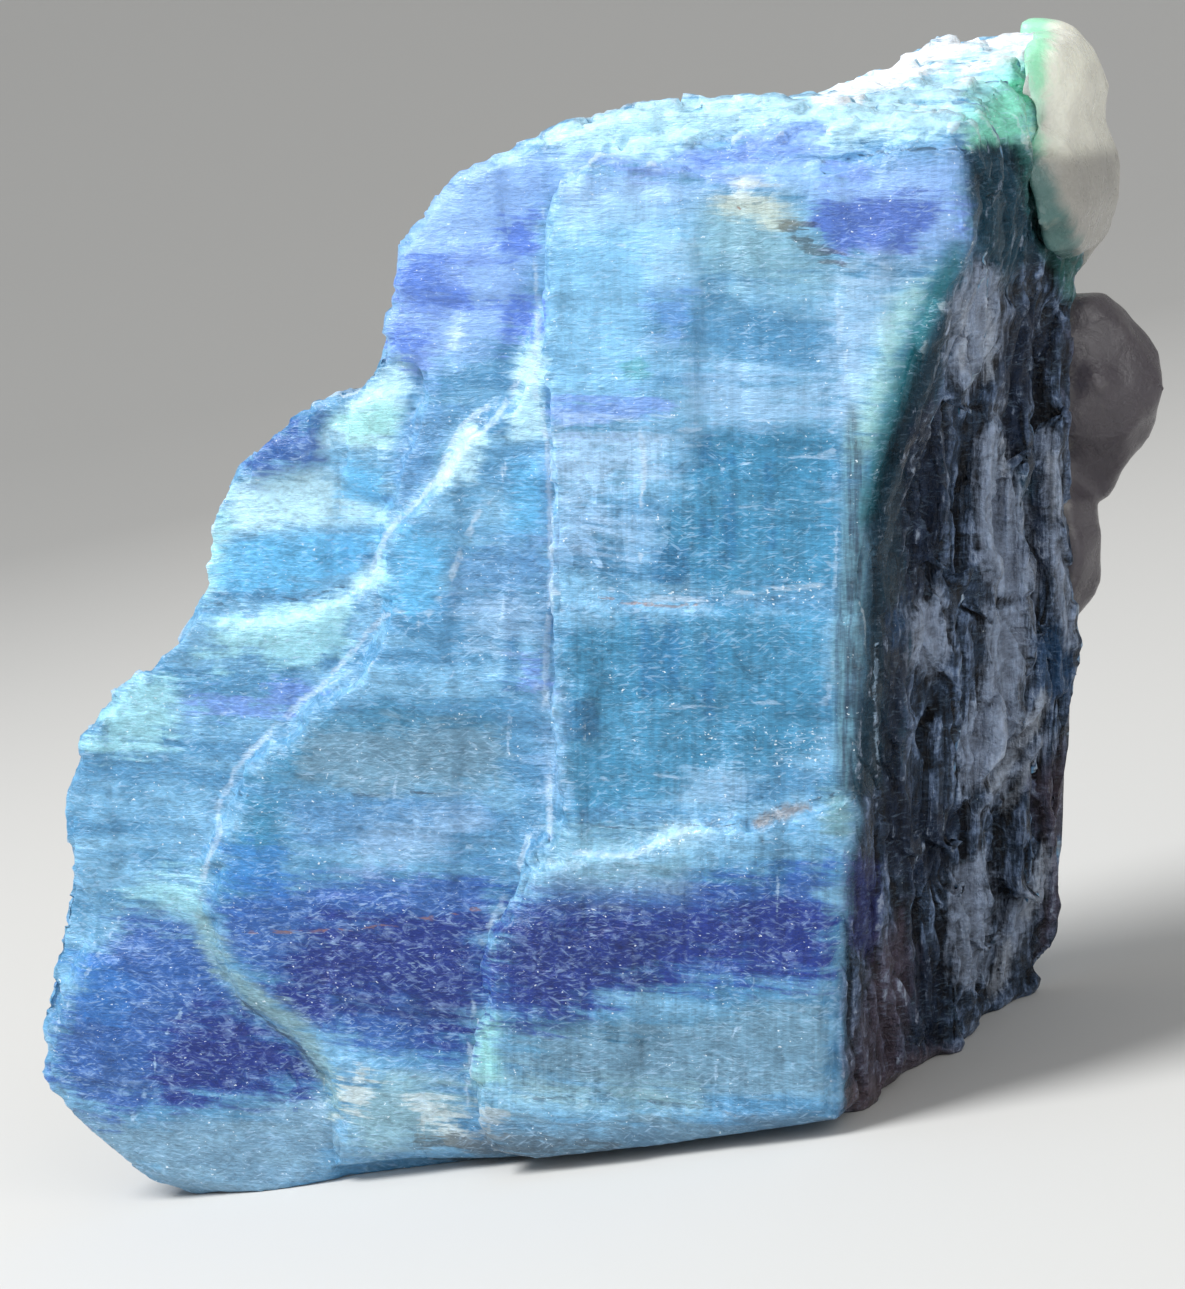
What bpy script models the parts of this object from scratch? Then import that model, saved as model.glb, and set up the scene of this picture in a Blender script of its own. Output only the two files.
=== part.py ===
# A loose kyanite specimen: intergrown blue blades with quartz on one upper corner.
# Lengths are in millimetres of the crystal frame, where u runs to the right, y to the back and w up
# along the blades. The crystal frame leans to the right, so that the broken base lies flat.
import math
import random

import bmesh
import bpy
from mathutils import Vector

MM = 0.001
LEAN = math.radians(13)
ORIGIN = (0.0, -1.7, 0.4)
BODY_FRONT = -5.0
BODY_BACK = 7.0
LAYER_EDGES = (-5.0, -4.1, -3.0, -2.0, -1.1, 0.1, 1.2, 2.3, 3.3, 4.4, 5.7, 7.0)
LAYER_OVERLAP = 0.15
LEDGE = {"left": 0.8, "top": 0.6, "right": 0.75}
OUTER_LEDGE = 0.15
NEW_LEDGE_CHANCE = 0.5
CORNER_SHARE = 0.06
RIGHT_RIM_FROM = 7.0
RIGHT_RIM = 0.4
SEED = 11

# The outer shape at the front of the body and at its back, point for point.
LEFT_FRONT = [(-14.6, -3.1), (-16.9, -1.5), (-18.1, -0.2), (-18.1, 1.6), (-17.4, 4.4), (-16.9, 6.4),
              (-17.1, 8.6), (-16.5, 10.5), (-15.1, 12.2), (-13.2, 13.8), (-12.5, 15.4), (-12.2, 17.2),
              (-11.1, 19.1), (-9.9, 20.3), (-7.6, 21.1), (-6.8, 22.2), (-6.6, 23.8), (-6.2, 25.4),
              (-5.2, 26.8)]
LEFT_BACK = [(-10.5, -4.0), (-11.9, -2.2), (-12.8, -0.6), (-13.0, 1.6), (-12.6, 4.2), (-12.4, 6.4),
             (-12.2, 8.6), (-11.6, 10.6), (-11.0, 12.2), (-10.4, 13.9), (-10.0, 15.6), (-9.6, 17.2),
             (-9.0, 18.9), (-8.2, 20.2), (-7.2, 21.3), (-6.5, 22.6), (-5.8, 24.2), (-5.2, 25.4),
             (-4.3, 26.3)]
TOP_FRONT = [(-3.9, 27.7), (-2.3, 28.4), (0.8, 29.3), (3.1, 29.2), (5.6, 29.1), (8.0, 29.1),
             (10.0, 28.9)]
TOP_BACK = [(-3.1, 27.2), (-1.6, 27.8), (0.8, 28.3), (2.6, 28.9), (4.6, 29.8), (6.3, 30.7),
            (9.6, 31.0)]
RIGHT_FRONT = [(10.5, 28.3), (10.6, 26.8), (10.4, 25.6), (9.7, 24.2), (9.2, 22.8), (8.7, 21.0),
               (8.2, 19.2), (7.9, 17.0), (7.7, 12.0), (7.7, 8.0), (7.6, 4.5), (7.7, 1.5), (7.7, -0.8)]
RIGHT_BACK = [(10.8, 29.9), (11.2, 27.0), (11.0, 25.0), (10.8, 23.0), (10.5, 21.2), (10.3, 19.4),
              (10.6, 17.2), (11.0, 14.8), (11.1, 12.0), (10.9, 8.0), (10.8, 4.5), (10.5, 2.6),
              (9.9, 0.5)]
BASE_FRONT = [(0.0, -2.5), (-9.0, -4.6)]
BASE_BACK = [(0.0, -2.5), (-6.0, -4.6)]

# Slabs on the front: how far forward each stands, how thick it is, the width of its slanted rim,
# and its outline from the left corner round over the top.
SLABS = {
    "main_upper": (-7.0, 2.7, 0.25, [
        (-1.3, 20.25), (-1.4, 24.0), (-1.4, 26.2), (-1.0, 27.3), (0.0, 27.9), (3.2, 27.6),
        (6.8, 27.9), (10.2, 29.0), (10.6, 28.3), (10.7, 26.8), (10.5, 25.6), (9.8, 24.1),
        (9.4, 23.0), (8.9, 21.2), (8.7, 20.25)]),
    "main_middle": (-6.9, 2.6, 0.22, [
        (-1.2, 15.5), (-1.3, 20.6), (8.8, 20.6), (8.3, 19.2), (7.9, 17.4), (7.8, 15.5)]),
    "main_lower": (-7.05, 2.8, 0.22, [
        (-1.0, 7.9), (-1.15, 15.8), (7.8, 15.8), (7.75, 10.4), (6.4, 10.1), (5.2, 9.6),
        (2.9, 9.1), (1.3, 8.4)]),
    "lower_front": (-7.5, 3.2, 0.35, [
        (-1.7, 9.1), (-1.2, 8.5), (1.25, 8.9), (2.8, 9.65), (5.0, 10.15), (7.85, 11.0), (7.8, 8.8),
        (7.7, 7.2), (7.55, 5.3), (7.55, 3.7), (7.6, 1.8), (5.0, 1.15), (1.8, 0.35), (-1.5, -0.35),
        (-3.0, -0.3), (-3.45, 1.1), (-3.4, 2.85), (-3.1, 4.2), (-3.15, 5.3), (-3.0, 6.15),
        (-2.3, 7.2), (-2.05, 8.1)]),
    "top_shelf": (-6.3, 2.0, 0.3, [
        (0.0, 24.0), (0.3, 28.2), (1.6, 28.6), (3.2, 28.4), (6.0, 28.7), (8.6, 29.3), (10.2, 29.1),
        (10.5, 28.0), (10.2, 25.0)]),
    "middle_left": (-6.2, 2.2, 0.5, [
        (0.0, 25.4), (-1.5, 24.6), (-2.35, 22.5), (-2.85, 21.15), (-4.2, 20.3), (-4.95, 18.95),
        (-6.5, 17.2), (-6.9, 15.95), (-6.6, 15.0), (-7.45, 13.25), (-8.5, 12.45), (-9.8, 11.1),
        (-10.9, 10.0), (-12.1, 7.65), (-12.3, 6.1), (-12.55, 5.2), (-12.2, 4.1), (-11.1, 2.75),
        (-9.9, 1.95), (-9.0, 1.3), (-8.6, 0.55), (-8.3, -1.8), (-6.0, -1.3), (-3.3, -1.0),
        (0.0, -0.4)]),
    "upper_left": (-5.6, 1.4, 0.35, [
        (-6.6, 22.0), (-6.6, 23.0), (-6.5, 23.9), (-6.1, 25.4), (-5.6, 26.1), (-4.7, 27.1),
        (-2.9, 27.95), (-1.1, 28.8), (0.85, 29.4), (3.1, 29.5), (5.6, 29.4), (8.5, 29.3),
        (8.5, 22.0), (0.0, 15.5), (-6.9, 15.8), (-6.8, 17.5), (-6.4, 18.9), (-5.6, 21.0),
        (-5.65, 21.9)]),
    "left_flank": (-5.35, 1.2, 0.3, [
        (-13.2, 4.9), (-16.0, 5.0), (-16.9, 6.4), (-17.0, 8.5), (-16.4, 10.4), (-15.0, 12.1),
        (-13.2, 13.7), (-12.5, 14.6), (-11.1, 14.3), (-9.0, 14.8), (-7.1, 15.7), (-5.0, 15.4),
        (-5.0, 5.0)]),
    "left_foot": (-5.55, 1.4, 0.35, [
        (-12.9, 4.9), (-15.2, 4.75), (-16.4, 4.0), (-17.4, 2.6), (-18.0, 0.3), (-17.7, -0.6),
        (-16.1, -2.0), (-14.3, -3.1), (-10.3, -3.2), (-8.1, -2.2), (-8.2, -0.5), (-9.2, 0.9),
        (-10.4, 1.75), (-11.7, 2.7), (-12.7, 4.0)]),
    "left_shelf": (-5.3, 1.0, 0.2, [
        (-10.9, 18.2), (-10.9, 19.1), (-9.9, 20.1), (-8.9, 20.5), (-8.6, 19.2), (-9.3, 18.6)]),
    "left_block": (-5.25, 1.0, 0.3, [
        (-8.2, 18.2), (-8.0, 20.7), (-6.9, 21.2), (-5.8, 21.1), (-6.0, 17.6)]),
    "back_broad": (6.4, 1.3, 0.4, [
        (-10.8, -2.0), (-11.2, 6.0), (-9.6, 11.0), (-7.6, 15.5), (-4.4, 19.6), (-1.0, 21.0),
        (1.6, 19.4), (2.4, 12.0), (1.9, 4.0), (2.3, -1.0)]),
    "back_narrow": (6.9, 1.6, 0.5, [
        (-6.8, -2.0), (-6.4, 4.0), (-5.0, 9.6), (-2.2, 12.8), (-0.6, 11.8), (-0.9, 5.0),
        (-0.3, -1.5)]),
    "back_upper": (6.4, 0.9, 0.3, [
        (-6.6, 15.8), (-5.4, 21.4), (-3.2, 25.2), (0.4, 26.6), (2.6, 26.0), (3.0, 20.0),
        (2.6, 13.6), (-1.0, 13.0)]),
    "back_right": (6.5, 1.3, 0.4, [
        (3.6, -1.2), (3.2, 4.6), (3.9, 10.4), (5.4, 13.2), (7.6, 12.4), (8.3, 6.0), (7.8, -0.8)]),
}

# Single blades on the splintery right side: (y, lowest w, highest w, width, how far it stands out).
# Their ends are slanted across u and y, they narrow to the top and they lean out a little.
SIDE_BLADES = [(-3.4, 21.2, 25.6, 1.9, 0.5), (-2.2, 16.6, 21.4, 1.5, 0.45), (-3.7, 9.0, 14.2, 1.1, 0.4),
               (0.6, 14.8, 22.0, 1.7, 0.5), (-0.9, 8.2, 15.6, 1.4, 0.5), (2.9, 11.2, 18.8, 1.6, 0.45),
               (1.6, 4.6, 11.8, 1.5, 0.5), (4.6, 5.4, 13.4, 1.4, 0.4), (-2.6, 3.0, 8.6, 1.3, 0.4),
               (0.4, 1.6, 6.4, 1.2, 0.4), (3.6, 18.0, 23.4, 1.3, 0.35), (5.6, 12.6, 19.6, 1.1, 0.3)]
SIDE_BLADE_REACH = 1.8
SIDE_BLADE_TAPER = 0.75
SIDE_BLADE_SLANT = (0.77, 0.44)
SIDE_BLADE_LEAN = 0.03

# Where corners are broken off, and the flat face at the bottom: (centre, turns in degrees, size).
BASE_FRONT_CHIP = ((2.5, -9.0, -2.4), (42, -13, 0), (30, 4, 4))
BACK_RIGHT_CHIP = ((14.3, 10.4, 0.2), (20, 40, -30), (6, 10, 8))
GROUND = ((0, 0, -10), (0, 0, 0), (80, 60, 20))

# The flat seam between the two minerals on the upper right corner, where it starts and ends, and
# how far the blocks that cut along it reach.
SEAM = {"u": 9.8, "y": 7.0, "w": 31.0, "per_y": -0.033, "per_w": -0.14}
SEAM_NEAR = 0.8
SEAM_LOW = 23.0
BLOCK_REACH = {"u": 30, "y": 20, "w": 40}
QUARTZ_GAP = 0.3

# The quartz: angular chunks that stand round the upper right corner, each as its outline and the
# depths where it is cut with the share of the outline there, and lumps of crust as (centre, radii).
CHUNKS = {
    "cap_top": ([(8.6, 31.25), (10.2, 31.15), (10.95, 30.5), (11.3, 29.3), (11.1, 27.5), (9.3, 26.8),
                 (8.3, 29.0)], [(1.5, 0.5), (2.9, 0.88), (5.0, 1.0), (7.8, 0.95), (9.4, 0.5)]),
    "cap_low": ([(9.8, 29.2), (11.2, 28.6), (11.65, 27.3), (11.75, 26.0), (11.45, 24.8),
                 (10.8, 23.4), (9.4, 23.0), (9.0, 26.0)],
                [(1.3, 0.5), (2.4, 0.85), (4.6, 1.0), (7.4, 0.92), (9.2, 0.6)]),
}
LUMPS = [((10.4, 9.0, 19.9), (2.6, 2.0, 3.5)), ((8.4, 8.3, 25.2), (2.5, 1.5, 3.6)),
         ((9.9, 8.1, 15.4), (1.5, 1.5, 2.8)), ((6.5, 7.8, 23.4), (2.8, 1.2, 4.4)),
         ((7.6, 7.7, 18.2), (2.2, 1.1, 3.2))]
LUMP_CORNERS = 30
LUMP_SPREAD = (0.86, 1.05)
CHUNK_JITTER = 0.18


def mix(a, b, share):
    return a + (b - a) * share


def make_object(name, bm, collection, parent):
    mesh = bpy.data.meshes.new(name)
    bm.to_mesh(mesh)
    bm.free()
    made = bpy.data.objects.new(name, mesh)
    made.parent = parent
    collection.objects.link(made)
    return made


def helper(made):
    made.hide_render = True
    made.display_type = "WIRE"
    return made


def loft(sections):
    """A closed form through outlines of one length, each given as (y, [(u, w), ...])."""
    bm = bmesh.new()
    rings = [[bm.verts.new((u * MM, y * MM, w * MM)) for u, w in outline] for y, outline in sections]
    for near, far in zip(rings, rings[1:]):
        for i in range(len(near)):
            bm.faces.new((near[i - 1], near[i], far[i], far[i - 1]))
    bm.faces.new(rings[0])
    bm.faces.new(rings[-1])
    bmesh.ops.recalc_face_normals(bm, faces=bm.faces)
    bmesh.ops.triangulate(bm, faces=bm.faces)
    return bm


def shrunk(outline, amount):
    """The outline with each corner moved inward by about this much."""
    turn = sum(a[0] * b[1] - b[0] * a[1] for a, b in zip(outline, outline[1:] + outline[:1]))
    moved = []
    for i, corner in enumerate(outline):
        here = Vector(corner)
        before = (here - Vector(outline[i - 1])).normalized()
        after = (Vector(outline[(i + 1) % len(outline)]) - here).normalized()
        inward = Vector((-before.y - after.y, before.x + after.x)).normalized() * math.copysign(1, turn)
        moved.append(tuple(here + inward * amount))
    return moved


def side_points(front, back, depth, axis, sign, ledges):
    """One side of a layer: each run is pushed inward by its own amount, which leaves ledges."""
    share = (depth - BODY_FRONT) / (BODY_BACK - BODY_FRONT)
    chain = [[mix(f, b, share) for f, b in zip(*pair)] for pair in zip(front, back)]
    points = []
    for i, (start, end) in enumerate(zip(chain, chain[1:])):
        for corner, other, beside in ((start, end, i - 1), (end, start, i + 1)):
            stepped = not 0 <= beside < len(ledges) or ledges[beside] != ledges[i]
            if beside < i and not stepped:
                continue
            share = CORNER_SHARE if stepped else 0
            point = [mix(c, o, share) for c, o in zip(corner, other)]
            point[axis] += sign * ledges[i]
            points.append(point)
    return points


def layer_outline(depth, ledges):
    base_share = (depth - BODY_FRONT) / (BODY_BACK - BODY_FRONT)
    base = [[mix(f, b, base_share) for f, b in zip(*pair)] for pair in zip(BASE_FRONT, BASE_BACK)]
    return (side_points(LEFT_FRONT, LEFT_BACK, depth, 0, 1, ledges["left"])
            + side_points(TOP_FRONT, TOP_BACK, depth, 1, -1, ledges["top"])
            + side_points(RIGHT_FRONT, RIGHT_BACK, depth, 0, -1, ledges["right"])
            + base)


def draw_ledges(draw, runs, most):
    """Ledges of one side: about half of the runs keep the depth of the run before."""
    ledges = []
    depth = draw.uniform(0, most)
    for _ in range(runs):
        if draw.random() < NEW_LEDGE_CHANCE:
            depth = draw.uniform(0, most)
        ledges.append(depth)
    return ledges


def body_layers(collection, parent):
    draw = random.Random(SEED)
    runs = {"left": len(LEFT_FRONT) - 1, "top": len(TOP_FRONT) - 1, "right": len(RIGHT_FRONT) - 1}
    layers = []
    for number, (near, far) in enumerate(zip(LAYER_EDGES, LAYER_EDGES[1:])):
        outermost = number in (0, len(LAYER_EDGES) - 2)
        ledges = {side: draw_ledges(draw, count, OUTER_LEDGE if outermost else LEDGE[side])
                  for side, count in runs.items()}
        far += LAYER_OVERLAP if far < BODY_BACK else 0
        bm = loft([(near, layer_outline(near, ledges)), (far, layer_outline(far, ledges))])
        layers.append(make_object(f"layer_{number}", bm, collection, parent))
    return layers


def slab(name, collection, parent):
    """A slab with a slanted rim on its outer face, which is wider on the right edge of the front."""
    front, thickness, rim, outline = SLABS[name]
    back = front + thickness
    face = shrunk(outline, rim)
    if front > 0:
        sections = [(front, outline), (back - rim, outline), (back, face)]
    else:
        face = [(u - RIGHT_RIM if u > RIGHT_RIM_FROM else u, w) for u, w in face]
        sections = [(front, face), (front + rim, outline), (back, outline)]
    return make_object("slab_" + name, loft(sections), collection, parent)


def side_blade(number, collection, parent):
    y, low, high, width, proud = SIDE_BLADES[number]
    share = (y - BODY_FRONT) / (BODY_BACK - BODY_FRONT)
    chain = [[mix(f, b, share) for f, b in zip(*pair)] for pair in zip(RIGHT_FRONT, RIGHT_BACK)]
    middle = (low + high) / 2
    u = next(mix(a[0], b[0], (a[1] - middle) / (a[1] - b[1]))
             for a, b in zip(chain, chain[1:]) if a[1] >= middle > b[1])
    bm = bmesh.new()
    bmesh.ops.create_cone(bm, cap_ends=True, segments=6, radius1=0.5, radius2=0.5, depth=1)
    for vert in bm.verts:
        slant = SIDE_BLADE_SLANT[0] * vert.co.x + SIDE_BLADE_SLANT[1] * vert.co.y
        height = mix(low, high, vert.co.z + 0.5) + math.copysign(1, vert.co.z) * slant
        taper = SIDE_BLADE_TAPER if vert.co.z > 0 else 1
        across = u + proud + SIDE_BLADE_REACH * (vert.co.x * taper - 0.5) + SIDE_BLADE_LEAN * (height - middle)
        vert.co = Vector((across, y + vert.co.y * width * taper, height)) * MM
    return make_object(f"side_blade_{number}", bm, collection, parent)


def seam_u(y, w):
    """Where the flat seam between the two minerals lies on the upper right corner."""
    return SEAM["u"] + SEAM["per_y"] * (y - SEAM["y"]) + SEAM["per_w"] * (w - SEAM["w"])


def seam_block(name, gap, side, near, far, low, collection, parent):
    """A block on one side of the seam."""
    edge = side * BLOCK_REACH["u"]
    top = BLOCK_REACH["w"]
    sections = [(y, [(edge, top), (seam_u(y, top) + gap, top), (seam_u(y, low) + gap, low), (edge, low)])
                for y in (near, far)]
    return helper(make_object(name, loft(sections), collection, parent))


def chip(name, shape, collection, parent):
    """A box whose faces cut something off."""
    centre, turns, size = shape
    bm = bmesh.new()
    bmesh.ops.create_cube(bm, size=MM)
    made = helper(make_object(name, bm, collection, parent))
    for vert in made.data.vertices:
        vert.co = Vector(a * b for a, b in zip(vert.co, size))
    made.location = Vector(centre) * MM
    made.rotation_euler = [math.radians(turn) for turn in turns]
    return made


def boolean(target, name, operation, operand):
    modifier = target.modifiers.new(name, "BOOLEAN")
    modifier.operation = operation
    modifier.solver = "EXACT"
    if isinstance(operand, bpy.types.Collection):
        modifier.operand_type = "COLLECTION"
        modifier.collection = operand
    else:
        modifier.object = operand


def hull(name, points, collection, parent):
    """The angular form that wraps these points."""
    bm = bmesh.new()
    for point in points:
        bm.verts.new(Vector(point) * MM)
    wrapped = bmesh.ops.convex_hull(bm, input=bm.verts, use_existing_faces=False)
    inside = {v for v in wrapped["geom_interior"] if isinstance(v, bmesh.types.BMVert)}
    bmesh.ops.delete(bm, geom=list(inside), context="VERTS")
    bmesh.ops.recalc_face_normals(bm, faces=bm.faces)
    return make_object(name, bm, collection, parent)


def quartz_lump(number, collection, parent):
    """A lump whose corners are spread evenly round a centre and then shaken."""
    centre, radii = LUMPS[number]
    draw = random.Random(SEED + number)
    points = []
    for i in range(LUMP_CORNERS):
        up = 1 - (2 * i + 1) / LUMP_CORNERS
        round_z = i * math.pi * (3 - math.sqrt(5))
        level = math.sqrt(1 - up * up)
        corner = Vector((level * math.cos(round_z), level * math.sin(round_z), up))
        corner *= draw.uniform(*LUMP_SPREAD)
        points.append([c + r * v for c, r, v in zip(centre, radii, corner)])
    return hull(f"lump_{number}", points, collection, parent)


def quartz_chunk(name, collection, parent):
    outline, sections = CHUNKS[name]
    draw = random.Random(name)
    middle = [sum(axis) / len(outline) for axis in zip(*outline)]
    points = []
    for y, share in sections:
        for u, w in outline:
            shift = draw.uniform(-CHUNK_JITTER, CHUNK_JITTER)
            points.append((mix(middle[0], u, share), y + 2 * shift, mix(middle[1], w, share + shift / 4)))
    return hull(name, points, collection, parent)


def finish_material(name, colour, roughness):
    material = bpy.data.materials.new(name)
    material.use_nodes = True
    shader = material.node_tree.nodes["Principled BSDF"]
    shader.inputs["Base Color"].default_value = (*colour, 1)
    shader.inputs["Roughness"].default_value = roughness
    shader.inputs["Metallic"].default_value = 0
    return material


def group(name, parent):
    made = bpy.data.collections.new(name)
    parent.children.link(made)
    return made


def build():
    for old in list(bpy.data.objects):
        bpy.data.objects.remove(old, do_unlink=True)
    scene = bpy.context.scene.collection
    specimen = group("kyanite_specimen", scene)
    cutters = group("cutters", scene)
    cutters.hide_render = True
    blades = group("blades", cutters)
    chips = group("chips", cutters)

    frame = bpy.data.objects.new("crystal_frame", None)
    frame.location = Vector(ORIGIN) * MM
    frame.rotation_euler.y = LEAN
    specimen.objects.link(frame)

    kyanite, *others = body_layers(specimen, frame)
    kyanite.name = "kyanite"
    for layer in others:
        specimen.objects.unlink(layer)
        blades.objects.link(helper(layer))
    for name in SLABS:
        helper(slab(name, blades, frame))
    for number in range(len(SIDE_BLADES)):
        helper(side_blade(number, blades, frame))
    seam_block("seam", 0, 1, SEAM_NEAR, BLOCK_REACH["y"], SEAM_LOW, chips, frame)
    chip("base_front_chip", BASE_FRONT_CHIP, chips, frame)
    chip("back_right_chip", BACK_RIGHT_CHIP, chips, frame)
    floor = chip("ground", GROUND, cutters, None)
    boolean(kyanite, "joined_blades", "UNION", blades)
    boolean(kyanite, "broken_corners", "DIFFERENCE", chips)
    boolean(kyanite, "flat_base", "DIFFERENCE", floor)
    kyanite.data.materials.append(finish_material("blue_kyanite", (0.16, 0.36, 0.55), 0.42))

    lumps = group("lumps", cutters)
    quartz = quartz_chunk("cap_top", specimen, frame)
    quartz.name = "quartz"
    helper(quartz_chunk("cap_low", lumps, frame))
    for number in range(len(LUMPS)):
        helper(quartz_lump(number, lumps, frame))
    room = seam_block("kyanite_room", QUARTZ_GAP, -1, -BLOCK_REACH["y"], BODY_BACK + QUARTZ_GAP, 0,
                      cutters, frame)
    boolean(quartz, "joined_lumps", "UNION", lumps)
    boolean(quartz, "seat", "DIFFERENCE", room)
    quartz.data.materials.append(finish_material("milky_quartz", (0.72, 0.70, 0.62), 0.35))


build()
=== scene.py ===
# Kyanite specimen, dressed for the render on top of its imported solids
import math

import bmesh
import bpy
import numpy as np
from mathutils import Matrix, Vector, noise


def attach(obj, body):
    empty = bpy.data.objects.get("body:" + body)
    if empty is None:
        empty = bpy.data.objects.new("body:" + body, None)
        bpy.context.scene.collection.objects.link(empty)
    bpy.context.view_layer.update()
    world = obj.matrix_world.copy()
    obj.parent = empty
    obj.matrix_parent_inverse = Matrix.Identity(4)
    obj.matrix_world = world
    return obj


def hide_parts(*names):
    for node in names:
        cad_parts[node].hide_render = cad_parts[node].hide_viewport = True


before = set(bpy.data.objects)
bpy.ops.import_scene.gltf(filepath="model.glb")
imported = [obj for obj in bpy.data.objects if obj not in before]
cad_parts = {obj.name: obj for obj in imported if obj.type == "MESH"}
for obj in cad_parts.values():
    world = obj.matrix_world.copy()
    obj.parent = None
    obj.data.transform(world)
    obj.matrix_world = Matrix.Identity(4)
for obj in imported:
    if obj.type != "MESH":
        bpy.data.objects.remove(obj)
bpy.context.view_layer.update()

mm = 0.001

# the crystal stands askew on its broken base: u runs right, y back and w up along the blades, in mm
crystal = {
    "lean": 13.0,                # degrees to the right
    "shift": (0.0, -1.7, 0.4),
}
toWorld = (Matrix.Translation(Vector(crystal["shift"]) * mm)
           @ Matrix.Rotation(math.radians(crystal["lean"]), 4, "Y") @ Matrix.Scale(mm, 4))
toCrystal = toWorld.inverted()

cameraView = {
    "azimuth": 20.37,            # degrees round the object, from the front
    "elevation": 6.965,
    "roll": 12.418,
    "target": (0.000796, -0.0017, 0.013677),
    "distance": 0.115,
    "lens": 109.2,
    "sensor": 36,
    "frame": (1185, 1289),
}


def cameraMatrix():
    turn = math.radians(cameraView["azimuth"])
    rise = math.radians(cameraView["elevation"])
    back = Vector((math.sin(turn) * math.cos(rise), -math.cos(turn) * math.cos(rise), math.sin(rise)))
    place = Matrix.Translation(Vector(cameraView["target"]) + back * cameraView["distance"])
    roll = Matrix.Rotation(math.radians(-cameraView["roll"]), 4, "Z")
    return place @ back.to_track_quat("Z", "Y").to_matrix().to_4x4() @ roll


def rgb(*shares):   # a colour as a picker shows it, 0 to 255
    return (*(((c / 255 + 0.055) / 1.055) ** 2.4 if c > 10 else c / 3295 for c in shares), 1.0)


def ease(value, low, high):
    share = np.clip((value - low) / (high - low), 0, 1)
    return share * share * (3 - 2 * share)


def placed(name, data):   # a new object in the scene
    thing = bpy.data.objects.new(name, data)
    bpy.context.scene.collection.objects.link(thing)
    return thing


def applied(holder):   # the mesh of an object as its modifiers leave it
    graph = bpy.context.evaluated_depsgraph_get()
    return bpy.data.meshes.new_from_object(holder.evaluated_get(graph))


def remeshedCopy(node, voxel):   # an evenly meshed copy of a node, in crystal millimetres
    bm = bmesh.new()
    bm.from_mesh(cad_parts[node].data)
    bmesh.ops.remove_doubles(bm, verts=bm.verts, dist=0.002 * mm)
    bm.transform(toCrystal)
    mesh = bpy.data.meshes.new(node + "_rough")
    bm.to_mesh(mesh)
    bm.free()
    rough = placed(node + "_rough", mesh)
    remesh = rough.modifiers.new("even", "REMESH")
    remesh.mode = "VOXEL"
    remesh.voxel_size = voxel
    even = applied(rough)
    bpy.data.objects.remove(rough)
    bpy.data.meshes.remove(mesh)
    return even


def spotsOf(mesh):
    spots = np.empty(len(mesh.vertices) * 3)
    mesh.vertices.foreach_get("co", spots)
    return spots.reshape(-1, 3)


def normalsOf(mesh):
    normals = np.empty(len(mesh.vertices) * 3)
    mesh.vertex_normals.foreach_get("vector", normals)
    return normals.reshape(-1, 3)


def pairsOf(mesh):
    pairs = np.empty(len(mesh.edges) * 2, int)
    mesh.edges.foreach_get("vertices", pairs)
    return pairs.reshape(-1, 2)


def smoothed(values, pairs, rounds):   # each value moves to the mean of its neighbours
    count = len(values)
    one, two = pairs.T
    links = np.bincount(one, minlength=count) + np.bincount(two, minlength=count)
    values = np.array(values, float)
    for _ in range(rounds):
        columns = values.reshape(count, -1)
        sums = [np.bincount(one, column[two], count) + np.bincount(two, column[one], count)
                for column in columns.T]
        values = (np.stack(sums, 1) / links[:, None]).reshape(values.shape)
    return values


def outlineDepth(spots, outline):   # how far inside the outline each spot lies, below zero outside
    corners = np.array(outline, float)
    nearest = np.full(len(spots), 1e6)
    inside = np.zeros(len(spots), bool)
    for a, b in zip(corners, np.roll(corners, -1, axis=0)):
        run = b - a
        share = np.clip((spots - a) @ run / (run @ run), 0, 1)
        nearest = np.minimum(nearest, np.linalg.norm(spots - a - share[:, None] * run, axis=1))
        rise = run[1] if abs(run[1]) > 1e-6 else 1e-6
        crossing = (a[1] > spots[:, 1]) != (b[1] > spots[:, 1])
        inside ^= crossing & (spots[:, 0] < a[0] + (spots[:, 1] - a[1]) * run[0] / rise)
    return np.where(inside, nearest, -nearest)


def lineDistance(spots, line):
    corners = np.array(line, float)
    nearest = np.full(len(spots), 1e6)
    for a, b in zip(corners, corners[1:]):
        run = b - a
        share = np.clip((spots - a) @ run / (run @ run), 0, 1)
        nearest = np.minimum(nearest, np.linalg.norm(spots - a - share[:, None] * run, axis=1))
    return nearest


def pictureSpots(spots):   # where crystal points lie in the picture, in its pixels
    wide, high = cameraView["frame"]
    turned = np.array(cameraMatrix().inverted() @ toWorld)
    seen = spots @ turned[:3, :3].T + turned[:3, 3]
    scale = cameraView["lens"] / cameraView["sensor"] * high
    return np.stack([wide / 2 - scale * seen[:, 0] / seen[:, 2],
                     high / 2 + scale * seen[:, 1] / seen[:, 2]], 1)


def keep(mesh, name, values):
    mesh.attributes.new(name, "FLOAT", "POINT").data.foreach_set("value", np.asarray(values, float))


def feed(tree, socket, value):
    if isinstance(value, bpy.types.NodeSocket):
        tree.links.new(value, socket)
    else:
        socket.default_value = value


def made(tree, kind, **values):   # a node with its sockets set or linked by name
    node = tree.nodes.new("ShaderNode" + kind)
    for name, value in values.items():
        feed(tree, node.inputs[name], value)
    return node


def calc(tree, operation, a, b=0.0, c=0.0):
    node = tree.nodes.new("ShaderNodeMath")
    node.operation = operation
    for socket, value in zip(node.inputs, (a, b, c)):
        feed(tree, socket, value)
    return node.outputs[0]


def times(tree, a, b):
    return calc(tree, "MULTIPLY", a, b)


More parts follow.
